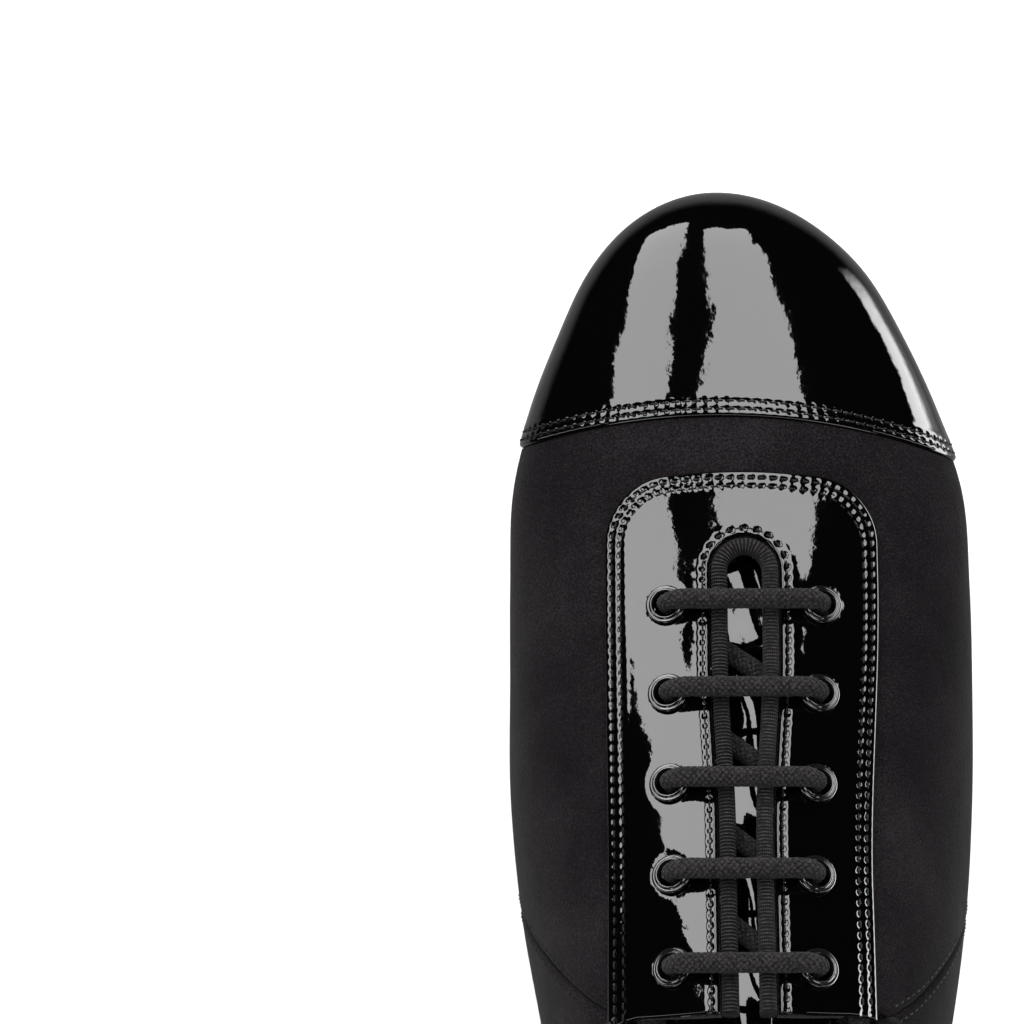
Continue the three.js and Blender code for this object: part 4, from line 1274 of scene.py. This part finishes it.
def tongue():
    t = (1 - np.cos(np.linspace(0, np.pi, 190))) / 2
    s = mix(TONGUE_FRONT, TONGUE_END, 0.5 * t + 0.5 * np.linspace(0, 1, 190))[:, None]
    u = np.sin(np.linspace(-np.pi / 2, np.pi / 2, 75))[None]
    x = tongue_half(s) * u
    s = np.broadcast_to(s, x.shape)
    off = np.minimum(tongue_half(s) - np.abs(x), np.minimum(s - TONGUE_FRONT, TONGUE_END - s))
    half = 1.25 * edge_round(off + 0.05, 1.6)
    seam = -0.18 * np.exp(-(((off - 3.2) / 0.5) ** 2))
    seam = seam + 0.5 * np.sin(0.36 * s + 0.1 * x + 0.6) + 0.3 * np.sin(0.55 * x - 0.17 * s)
    sheet_mesh("tongue_patent", lambda rise: crown(x, s, rise), x.shape, TONGUE_RISE - 1.25 + half + seam,
               TONGUE_RISE - 1.25 - half, PATENT_SKIN, under=LINING, body="tongue_flap", slot="patent",
               replaces=["tongue"])
    line_s_values = np.linspace(TONGUE_FRONT + 12, TONGUE_END - 3.2, 160)
    one = np.stack([tongue_half(line_s_values) - 3.2, line_s_values], -1)
    end_x = np.linspace(one[-1, 0], -one[-1, 0], 40)[1:-1]
    line = np.vstack([one, np.stack([end_x, np.full(38, TONGUE_END - 3.2)], -1), one[::-1] * [-1, 1]])
    run = length_along(crown(line[:, 0], line[:, 1], TONGUE_RISE))

    def place(at, rise):
        x, s = np.interp(at, run, line[:, 0]), np.interp(at, run, line[:, 1])
        wave = 0.5 * np.sin(0.36 * s + 0.1 * x + 0.6) + 0.3 * np.sin(0.55 * x - 0.17 * s)
        return crown(x, s, TONGUE_RISE - 0.12 + wave + rise)

    stitches("tongue_stitches", place, run[-1] - 1, body="tongue_flap")


lace_panel()
throat_binding()
top_binding()
tongue()


# ------------------------------------------------------------------ eyelets and laces

EYELET_PROFILE = [
    [2.6, -2.2], [2.75, -2.6], [3.1, -2.75], [3.6, -2.7], [3.88, -2.5], [3.8, -2.28], [2.95, -2.2],
    [2.95, 1.7], [3.8, 1.7], [4.02, 1.84], [4.06, 2.02], [3.94, 2.22], [3.72, 2.34], [3.52, 2.32],
                  [3.42, 2.27],
    [3.34, 2.34], [3.26, 2.52], [3.12, 2.68], [2.96, 2.72], [2.8, 2.66], [2.68, 2.5], [2.62, 2.25],
                  [2.6, 1.6],
]


def add_eyelets():
    for e in EYELETS:
        side = "lateral" if e["side"] > 0 else "medial"
        verts, faces = lathe(EYELET_PROFILE, 48, e["place"], e["axis"], closed=True)
        name = f"eyelet_{side}_{e['row'] + 1}"
        make_mesh("rolled_" + name, verts, faces, ENAMEL, slot="black_enamel", replaces=[name])


LACE_R = 2.1
LACE_OVER = 5.3
LACE_UNDER = -5.2
LACE_STEP = 0.36
LACE_SIDES = 32
SIDE_RUN = [[21, 159], [21.6, 156], [22.6, 150], [23.2, 138], [23.6, 115], [23.2, 92], [18.6, 86.9]]
TUCKED = [
    [20.3, 164.2, 83.8], [21, 167.6, 82.1], [21.9, 170.2, 78], [23, 171.4, 72], [23.1, 171.8, 64],
    [23.1, 171.9, 55], [23, 172.3, 47], [22.6, 174.2, 40], [22, 178.6, 35.2], [21, 185, 35],
          [19.6, 193, 35.8],
    [17.8, 202, 36.5], [16, 212, 36.7], [14.8, 222, 36.7], [14.2, 232, 36.7],
]
AGLET_LENGTH = 20.0


def braid(run, turn):
    """Height of a round braid's surface, 0 to 1, at mm along and turns round."""
    left = np.sin(turn * PLAITS * np.pi + run * np.pi / PLAIT)
    right = np.sin(turn * PLAITS * np.pi - run * np.pi / PLAIT)
    return np.abs(left * right)


def cord_mesh(name, points, radius_at, **options):
    """A braided cord along a smooth curve through the points."""
    rough = smooth_curve(points, 4 * len(points))
    steps = int(length_along(rough)[-1] / LACE_STEP)
    path = smooth_curve(points, steps)
    path = smooth_rows(path, 5)
    _, one, two = frames(path, (0.12, 0.2, 1))
    run = length_along(path)
    turn = np.arange(LACE_SIDES) / LACE_SIDES
    plait = braid(run[:, None], turn[None])
    radius = radius_at(path)[:, None] - 0.02 - 0.14 * (1 - plait) ** 1.5
    radius = radius + rng.normal(0, 0.018, radius.shape)
    ring = circle(LACE_SIDES)
    profile = radius[..., None] * ring[None]
    weave = np.zeros((steps, LACE_SIDES, 3))
    weave[..., 0] = run[:, None]
    weave[..., 1] = turn[None]
    made = sweep(name, path, one, two, profile, CORD, weave=np.vstack([weave.reshape(-1, 3),
                                                                       np.zeros((2, 3))]),
                 **options)
    return made, path


def eyelet(row, side):
    return next(e for e in EYELETS if e["row"] == row and e["side"] == side)


def passing(e, down):
    points = [e["place"] + e["axis"] * rise for rise in (3.3, 0.2, -3.1)]
    return points if down else points[::-1]


def spanning(a, b, rise):
    return [crown(mix(a["x"], b["x"], t), mix(a["s"], b["s"], t), rise) for t in (0.11, 0.27, 0.5, 0.73,
                                                                                  0.89)]


def squeezed(path):
    places = np.stack([e["place"] for e in EYELETS])
    near = np.linalg.norm(path[:, None] - places[None], axis=-1).min(1)
    return mix(1.6, LACE_R, ease(3, 6.2, near))


def laces():
    points = [crown(x, s, LACE_UNDER) for x, s in SIDE_RUN]
    for row in range(EYELET_ROWS):
        up, down = eyelet(row, 1), eyelet(row, -1)
        points += passing(up, False) + spanning(up, down, LACE_OVER) + passing(down, True)
        if row < EYELET_ROWS - 1:
            points += spanning(down, eyelet(row + 1, 1), LACE_UNDER)
    points += [crown(-18, 157.3, LACE_UNDER), crown(-20.6, 159.9, LACE_UNDER)]
    cord_mesh("braided_lace", points, squeezed, slot="lace_cord", replaces=["lace"])
    for name, side in (("lateral", 1), ("medial", -1)):
        points = [crown(side * 20.9, 161.3, LACE_UNDER)]
        points += [np.array([side * x, TIP_Y - s, z]) for x, s, z in TUCKED]
        end, path = cord_mesh(f"braided_end_{name}", points, lambda p: np.full(len(p), LACE_R),
                              slot="lace_cord", replaces=[f"lace_end_{name}"])
        way = unit(points[-1] - points[-2])
        t = np.array([0, 0.6, 1.2, 2, 6, 10, 14, 17.6, 18.8, 19.5, AGLET_LENGTH - 0.3])
        radius = np.array([1.3, 1.55, 1.6, 1.6, 1.58, 1.58, 1.58, 1.6, 1.5, 1.2, 0.6])
        middle = points[-1] + way * (0.3 + t[:, None])
        _, one, two = frames(middle, (0, 0, 1))
        tip = sweep(f"aglet_tip_{name}", middle, one, two, radius[:, None, None] * circle(28)[None], FILM,
                    slot="aglet_film", replaces=[f"aglet_{name}"])


add_eyelets()
laces()

# ------------------------------------------------------------------ sole, heel and taps

SOLE_FRONT = 5.0
SOLE_BACK = 264.5
BREAST = 206.0
BREAST_HOLLOW = 5.0
TAP_END = 60.0
SCREW_LENGTH = 9.0
CORE = 1.7
HEAD = 3.4
HEAD_DEPTH = 1.9
RECESS = 0.35
TOE_SCREWS = [[-4, 19], [-26.5, 47], [25, 48.5]]
HEEL_SCREWS = [[-1.8, 251], [-21, 224], [17.5, 224]]
HEEL_NAILS = [[-15, 232], [11.5, 232], [-12, 250], [8.5, 250]]
HEEL_SCREW = [-1.8, 236]


def sole_edge(tau, side, inset=0.0):
    """[x, s] on the sole's edge in plan, drawn in by inset."""

    def at(t):
        s = s_at(t)
        waist = np.exp(-(((s - 168) / 32) ** 2)) * (0.16 if side < 0 else 0.07)
        share = mix(0.87, 0.895, ease(150, 210, s)) * (1 - waist)
        half = along(1 if side < 0 else 2, t) * share
        return np.stack([along(3, t) + side * half, mix(SOLE_FRONT, SOLE_BACK, s / LENGTH)], -1)

    t = np.clip(tau, 2 * EPS, 1 - 2 * EPS)
    run = at(t + EPS) - at(t - EPS)
    inward = unit(np.stack([-run[..., 1], run[..., 0]], -1)) * side
    return at(tau) + inward * np.asarray(inset)[..., None]


def layer_grid(inset, start, stop, rows, columns, rear=None):
    """[x, s] over a layer of the sole, closely spaced at its edges. rear(x) is s of its rear edge."""
    u = np.sin(np.linspace(-np.pi / 2, np.pi / 2, columns))[None]
    q = ((1 - np.cos(np.linspace(0, np.pi, rows))) / 2)[:, None]
    q = 0.6 * q + 0.4 * np.linspace(0, 1, rows)[:, None]
    last = np.full((1, columns), float(stop))
    for _ in range(30 if rear else 0):
        lateral, medial = sole_edge(last, 1, inset), sole_edge(last, -1, inset)
        flat = mix(lateral, medial, (1 - u[..., None]) / 2)
        last = tau_at(s_at(last) + 0.6 * (rear(flat[..., 0]) - flat[..., 1]))
    tau = mix(start, last, q)
    lateral, medial = sole_edge(tau, 1, inset), sole_edge(tau, -1, inset)
    return mix(lateral, medial, (1 - u[..., None]) / 2)


def from_border(flat):
    """How far each place of a layer's grid lies from the layer's edge."""
    line = np.vstack([flat[0], flat[1:, -1], flat[-1, ::-1][1:], flat[::-1, 0][1:]])
    place, off, index = nearest(line, flat)
    for step in (-1, 1):
        run = line[np.clip(index + step, 0, len(line) - 1)] - place
        share = ((flat - place) * run).sum(-1) / np.maximum((run ** 2).sum(-1), 1e-9)
        off = np.minimum(off, np.linalg.norm(flat - place - np.clip(share, 0, 1)[..., None] * run, axis=-1))
    return off


def sole_layer(name, inset, low, high, start, stop, material, radius, grid, rear=None, line=sole_line,
               shape=None,
               **options):
    flat = layer_grid(inset, start, stop, grid[0], grid[1], rear)
    off = from_border(flat)
    half = (high - low) / 2 * edge_round(off + 0.02, radius)
    middle = (high + low) / 2
    extra = shape(flat, off) if shape else 0.0

    def surface(rise):
        z = line(flat[..., 1]) + rise
        return np.stack([flat[..., 0], TIP_Y - flat[..., 1], z], -1)

    return sheet_mesh(name, surface, flat.shape[:2], middle + half + extra, middle - half, material,
                      **options)


def heel_ring(inset, breast, hollow):
    start = float(tau_at(breast))
    tau = mix(start, 0.985, (1 - np.cos(np.linspace(0, np.pi, 60))) / 2 * 0.3 + np.linspace(0, 1, 60) * 0.7)
    lateral, medial = sole_edge(tau, 1, inset), sole_edge(tau, -1, inset)
    back = smooth_curve([lateral[-2], lateral[-1], mix(lateral[-1], medial[-1], 0.5) + [0, 0.15], medial[-1],
                         medial[-2]], 30)[6:-6]
    t = np.linspace(0, 1, 32)[1:-1, None]
    front = mix(medial[0], lateral[0], t) + np.array([0, 1]) * hollow * 4 * t * (1 - t)
    ring = np.vstack([lateral, back, medial[::-1], front])
    return ring


def drawn_in(ring, by):
    """A closed outline moved inward."""
    run = unit(np.roll(ring, -2, 0) - np.roll(ring, 2, 0))
    side = np.stack([-run[:, 1], run[:, 0]], -1)
    centre = ring.mean(0)
    sign = np.sign(((centre - ring) * side).sum(-1).mean())
    return ring + side * sign * by


def heel_prism(name, low, high, inset_low, inset_high, material, breast=BREAST, hollow=BREAST_HOLLOW,
               round_low=0.6,
               round_high=0.3, bulge=0.0, lifts=(), **options):
    """An upright heel piece with rounded edges, and with fine grooves at the heights in lifts."""
    levels = []
    for a in np.linspace(0, np.pi / 2, 6):
        levels.append((low + round_low * (1 - np.cos(a)), round_low * (1 - np.sin(a))))
    for z in np.linspace(low + round_low, high - round_high, 30)[1:-1]:
        groove = sum(0.16 * math.exp(-(((z - lift) / 0.22) ** 2)) for lift in lifts)
        levels.append((z, groove))
    for lift in lifts:
        levels += [(lift - 0.25, 0.03), (lift, 0.17), (lift + 0.25, 0.03)]
    for a in np.linspace(0, np.pi / 2, 6):
        levels.append((high - round_high * (1 - np.sin(a)), round_high * (1 - np.cos(a))))
    rings = []
    for z, extra in sorted(levels):
        t = (z - low) / (high - low)
        ring = heel_ring(mix(inset_low, inset_high, t) - bulge * 4 * t * (1 - t), breast, hollow)
        ring = drawn_in(ring, extra)
        rings.append(np.column_stack([ring[:, 0], TIP_Y - ring[:, 1], np.full(len(ring), z)]))
    count = len(rings[0])
    faces = [list(f) for f in grid_quads(len(rings), count, wrap=True)]
    for k in (0, len(rings) - 1):
        inner = len(rings) * count + (0 if k == 0 else 1)
        for c in range(count):
            faces.append([k * count + c, k * count + (c + 1) % count, inner])
    caps = np.stack([rings[0].mean(0), rings[-1].mean(0)])
    return make_mesh(name, np.vstack(rings + [caps]), faces, material, sharp=50, **options)


def drilled(piece, cutters):
    """Cut the cutters' volume from a piece."""
    verts, faces = gather(cutters)
    tool = make_mesh(piece.name + "_cutter", verts, faces, STEEL)
    cut = piece.modifiers.new("cut", "BOOLEAN")
    cut.operation = "DIFFERENCE"
    cut.solver = "EXACT"
    cut.object = tool
    made = bpy.data.meshes.new_from_object(piece.evaluated_get(bpy.context.evaluated_depsgraph_get()))
    piece.modifiers.clear()
    piece.data = made
    bpy.data.objects.remove(tool)
    made.shade_smooth()
    made.set_sharp_from_angle(angle=math.radians(38))
    return piece


def screw_places():
    for name, places in (("toe", TOE_SCREWS), ("heel", HEEL_SCREWS)):
        for k, (x, s) in enumerate(places):
            slope = float(sole_line(s + 0.5) - sole_line(s - 0.5)) if name == "toe" else 0.0
            z = float(sole_line(s)) - TREAD_Z if name == "toe" else 0.0
            yield name, k + 1, np.array([x, TIP_Y - s, z]), unit(np.array([0, slope, 1.0]))


def pilot(place, axis):
    return lathe([[0, -3], [2.0, -3], [2.0, SCREW_LENGTH + 1.2], [0, SCREW_LENGTH + 1.2]], 32, place, axis)


def sink(place, axis):
    top = RECESS + 0.1
    profile = [[0, -2], [HEAD + 0.75, -2], [HEAD + 0.75, -0.05], [HEAD + 0.45, 0.22], [HEAD + 0.45, top],
               [CORE + 0.45, top + HEAD_DEPTH], [CORE + 0.45, 8], [0, 8]]
    return lathe(profile, 48, place, axis)


SCREW_PROFILE = [
    [0, RECESS + 0.02], [2.2, RECESS], [3.0, RECESS + 0.03], [3.3, RECESS + 0.1], [HEAD, RECESS + 0.22],
    [HEAD, RECESS + 0.3], [2.5, RECESS + 1.1], [CORE, RECESS + HEAD_DEPTH], [CORE, 3.2], [CORE - 0.3, 3.5],
    [CORE, 3.9], [CORE - 0.3, 4.3], [CORE, 4.7], [CORE - 0.3, 5.1], [CORE, 5.5], [CORE - 0.35, 5.9],
    [CORE - 0.1, 6.3], [CORE - 0.5, 6.8], [1.0, 7.6], [0, SCREW_LENGTH],
]


def screws():
    for name, k, place, axis in screw_places():
        verts, faces = lathe(SCREW_PROFILE, 48, place, axis)
        node = f"{name}_screw_{k}"
        screw = make_mesh(f"countersunk_{node}", verts, faces, STEEL, body=f"{name}_screw_body_{k}",
                          slot="steel",
                          replaces=[node])
        one = unit(np.cross(axis, [0, 1, 0]))
        two = np.cross(axis, one)
        box = np.array([[a, b, c] for a in (-5, 5) for b in (-0.45, 0.45) for c in (-1, RECESS + 0.8)], float)
        verts = place + box[:, :1] * one + box[:, 1:2] * two + box[:, 2:] * axis
        quads = [[0, 1, 3, 2], [4, 6, 7, 5], [0, 4, 5, 1], [2, 3, 7, 6], [0, 2, 6, 4], [1, 5, 7, 3]]
        drilled(screw, [(verts, np.array(quads))])


def tap_rear(x):
    return TAP_END - 7 * np.cos(np.pi * (np.clip(x / 120, -0.5, 0.5))) ** 2


def sole():
    toe = [(p, a) for name, _, p, a in screw_places() if name == "toe"]
    heel = [(p, a) for name, _, p, a in screw_places() if name == "heel"]
    nails = [lathe([[0, 12], [1.3, 12], [1.3, 36], [0, 36]], 16, (x, TIP_Y - s, 0), (0, 0, 1)) for x,
             s in HEEL_NAILS]
    nails.append(lathe([[0, 10], [2.5, 10], [2.5, 38], [0, 38]], 20,
                       (HEEL_SCREW[0], TIP_Y - HEEL_SCREW[1], 0),
                       (0, 0, 1)))

    def edge_wheel(flat, off):
        """The fudged groove that an edge wheel leaves round a welt."""
        return -0.3 * np.exp(-(((off - 2.4) / 0.5) ** 2))

    outsole = sole_layer("leather_outsole", 0.0, -4.1, -0.1, 0.02, 0.98, SOLE_SKIN, 0.9, (230, 90),
                         shape=edge_wheel,
                         slot="sole_leather", replaces=["outsole"])
    drilled(outsole, [pilot(p, a) for p, a in toe] + nails)
    board = sole_layer("toe_sound_board", 1.6, -6.4, -4.4, 0.03, tau_at(62), BOARD, 0.5, (110, 70),
                       rear=lambda x: tap_rear(x) + 2, slot="fibre_board", replaces=["sound_board"])
    drilled(board, [pilot(p, a) for p, a in toe])
    tap = sole_layer("alloy_toe_tap", 2.6, -TREAD_Z, TAP - TREAD_Z, 0.03, tau_at(60), ALLOY, 0.7, (130, 90),
                     rear=tap_rear, body="toe_plate", slot="tap_alloy", replaces=["toe_tap"])
    drilled(tap, [sink(p, a) for p, a in toe])
    sole_layer("fabric_sock", 2.4, 4.9, 7.0, 0.05, 0.95, FOAM, 1.0, (150, 60), slot="sock_lining",
               replaces=["sock"])
    block_low, block_high = TAP + 0.3 + TOP_LIFT + 0.3, TREAD_Z + HEEL_RISE - 4.4
    lifts = np.linspace(block_low, block_high, 5)[1:-1]
    block = heel_prism("stacked_heel", block_low, block_high, 1.6, 0.2, STACK, lifts=lifts, round_low=0.25,
                       bulge=-0.25, slot="heel_stack", replaces=["heel_block"])
    drilled(block, [pilot(p, a) for p, a in heel] + nails)
    lift = heel_prism("rubber_top_lift", TAP + 0.3, TAP + 0.3 + TOP_LIFT, 1.6, 1.6, RUBBER, round_low=0.35,
                      round_high=0.25, slot="heel_rubber", replaces=["top_lift"])
    drilled(lift, [pilot(p, a) for p, a in heel])
    heel_tap = heel_prism("alloy_heel_tap", 0, TAP, 2.6, 2.2, ALLOY, breast=211, round_low=0.7,
                          round_high=0.3,
                          body="heel_plate", slot="tap_alloy", replaces=["heel_tap"])
    drilled(heel_tap, [sink(p, a) for p, a in heel])
    screws()


sole()

# ------------------------------------------------------------------ inner parts that keep their CAD shape

for name, material in {
    "bottom_filler": BOARD, "insole_board": BOARD, "shank": STEEL, "heel_screw": STEEL,
    "heel_nail_1": STEEL, "heel_nail_2": STEEL, "heel_nail_3": STEEL, "heel_nail_4": STEEL,
}.items():
    for k in range(len(nodes[name].data.materials)):
        nodes[name].data.materials[k] = material

# ------------------------------------------------------------------ floor and lights


def pale_floor():
    paint = Paint("pale_floor", (0.9, 0.9, 0.9), 0.7)
    paint.link("Base Color", paint.ramp(paint.noise(3, 2), [(0.3, (0.89, 0.89, 0.89)),
                                                            (0.7, (0.915, 0.915, 0.915))]))
    return paint.done()


def add_floor():
    data = bpy.data.meshes.new("floor")
    data.from_pydata([(-9, -9, -0.0002), (9, -9, -0.0002), (9, 9, -0.0002), (-9, 9, -0.0002)], [],
                     [(0, 1, 2, 3)])
    data.materials.append(pale_floor())
    floor = bpy.data.objects.new("floor", data)
    bpy.context.scene.collection.objects.link(floor)
    floor.visible_glossy = False


def softbox(name, place, target, size, power, roll=0.0, mirrored=True):
    """A rectangular lamp, in millimetres. One that isn't mirrored isn't seen in gloss."""
    lamp = bpy.data.lights.new(name, "AREA")
    lamp.shape = "RECTANGLE"
    lamp.size, lamp.size_y = size[0] * MM, size[1] * MM
    lamp.energy = power
    made = bpy.data.objects.new(name, lamp)
    bpy.context.scene.collection.objects.link(made)
    made.location = Vector(place) * MM
    way = Vector(target) - Vector(place)
    made.rotation_euler = (way.to_track_quat("-Z", "Y") @ Quaternion((0, 0, 1),
                                                                     math.radians(roll))).to_euler()
    made.visible_glossy = mirrored
    return made


def radiant(size, level):
    """The power in watts at which a lamp of this size, in millimetres, shines at a level."""
    return level * math.pi * size[0] * size[1] * MM * MM


add_floor()
STRIP = 6.4
LEFT_SIZE = (560, 1900)
RIGHT_SIZE = (600, 2000)
TOE = (0, 95, 40)
softbox("strip_left", (-640, 1095, 800), TOE, LEFT_SIZE, radiant(LEFT_SIZE, STRIP), roll=-22)
softbox("strip_right", (180, 1095, 1130), TOE, RIGHT_SIZE, radiant(RIGHT_SIZE, STRIP), roll=13)
sky = bpy.data.objects.new("overhead", bpy.data.lights.new("overhead", "SUN"))
sky.data.energy = 3.3
sky.data.angle = math.radians(110)
sky.visible_glossy = False
bpy.context.scene.collection.objects.link(sky)
SIDE_SIZE = (300, 1500)
softbox("side_right", (1200, -250, 560), (0, -60, 40), SIDE_SIZE, radiant(SIDE_SIZE, 3.0))
softbox("side_left", (-1200, -250, 560), (0, -60, 40), SIDE_SIZE, radiant(SIDE_SIZE, 3.0))
BACK_SIZE = (900, 500)
softbox("back", (0, -1250, 700), (0, -100, 50), BACK_SIZE, radiant(BACK_SIZE, 3.0))


def studio():
    """Pale behind everything; in reflections dark above and grey under the horizon, brightest at one side."""
    world = bpy.data.worlds.new("studio")
    bpy.context.scene.world = world
    world.use_nodes = True
    tree = world.node_tree
    tree.nodes.clear()

    def node(kind, inputs, **settings):
        made = tree.nodes.new("ShaderNode" + kind)
        for key, value in settings.items():
            setattr(made, key, value)
        for key, value in inputs.items():
            if isinstance(value, bpy.types.NodeSocket):
                tree.links.new(value, made.inputs[key])
            else:
                made.inputs[key].default_value = value
        return made

    way = node("SeparateXYZ", {"Vector": node("TexCoord", {}).outputs["Generated"]}).outputs
    down = node("MapRange", {"Value": way["Z"], "From Min": -0.62, "From Max": -0.3, "To Min": 0.3,
                             "To Max": 0.003},
                interpolation_type="SMOOTHSTEP").outputs["Result"]
    low = node("MapRange", {"Value": way["Z"], "From Min": -0.08, "From Max": -0.02, "To Min": 1.0,
                            "To Max": 0.0},
               interpolation_type="SMOOTHSTEP").outputs["Result"]
    right = node("MapRange", {"Value": way["X"], "From Min": 0.66, "From Max": 0.86, "To Min": 0.0,
                              "To Max": 9.0},
                 interpolation_type="SMOOTHSTEP").outputs["Result"]
    fade = node("MapRange", {"Value": way["Z"], "From Min": -0.5, "From Max": -0.3, "To Min": 0.12,
                             "To Max": 1.0},
                interpolation_type="SMOOTHSTEP").outputs["Result"]
    near = node("Math", {0: low, 1: fade}, operation="MULTIPLY").outputs[0]
    glow = node("Math", {0: near, 1: right}, operation="MULTIPLY").outputs[0]
    level = node("Math", {0: down, 1: glow}, operation="ADD").outputs[0]
    dim = node("Background", {"Color": (1, 1, 1, 1), "Strength": level})
    pale = node("Background", {"Color": (0.93, 0.93, 0.93, 1), "Strength": 1.0})
    seen = node("LightPath", {}).outputs["Is Camera Ray"]
    both = node("MixShader", {0: seen, 1: dim.outputs[0], 2: pale.outputs[0]})
    node("OutputWorld", {"Surface": both.outputs[0]})


studio()
bpy.context.scene.view_settings.view_transform = "Standard"
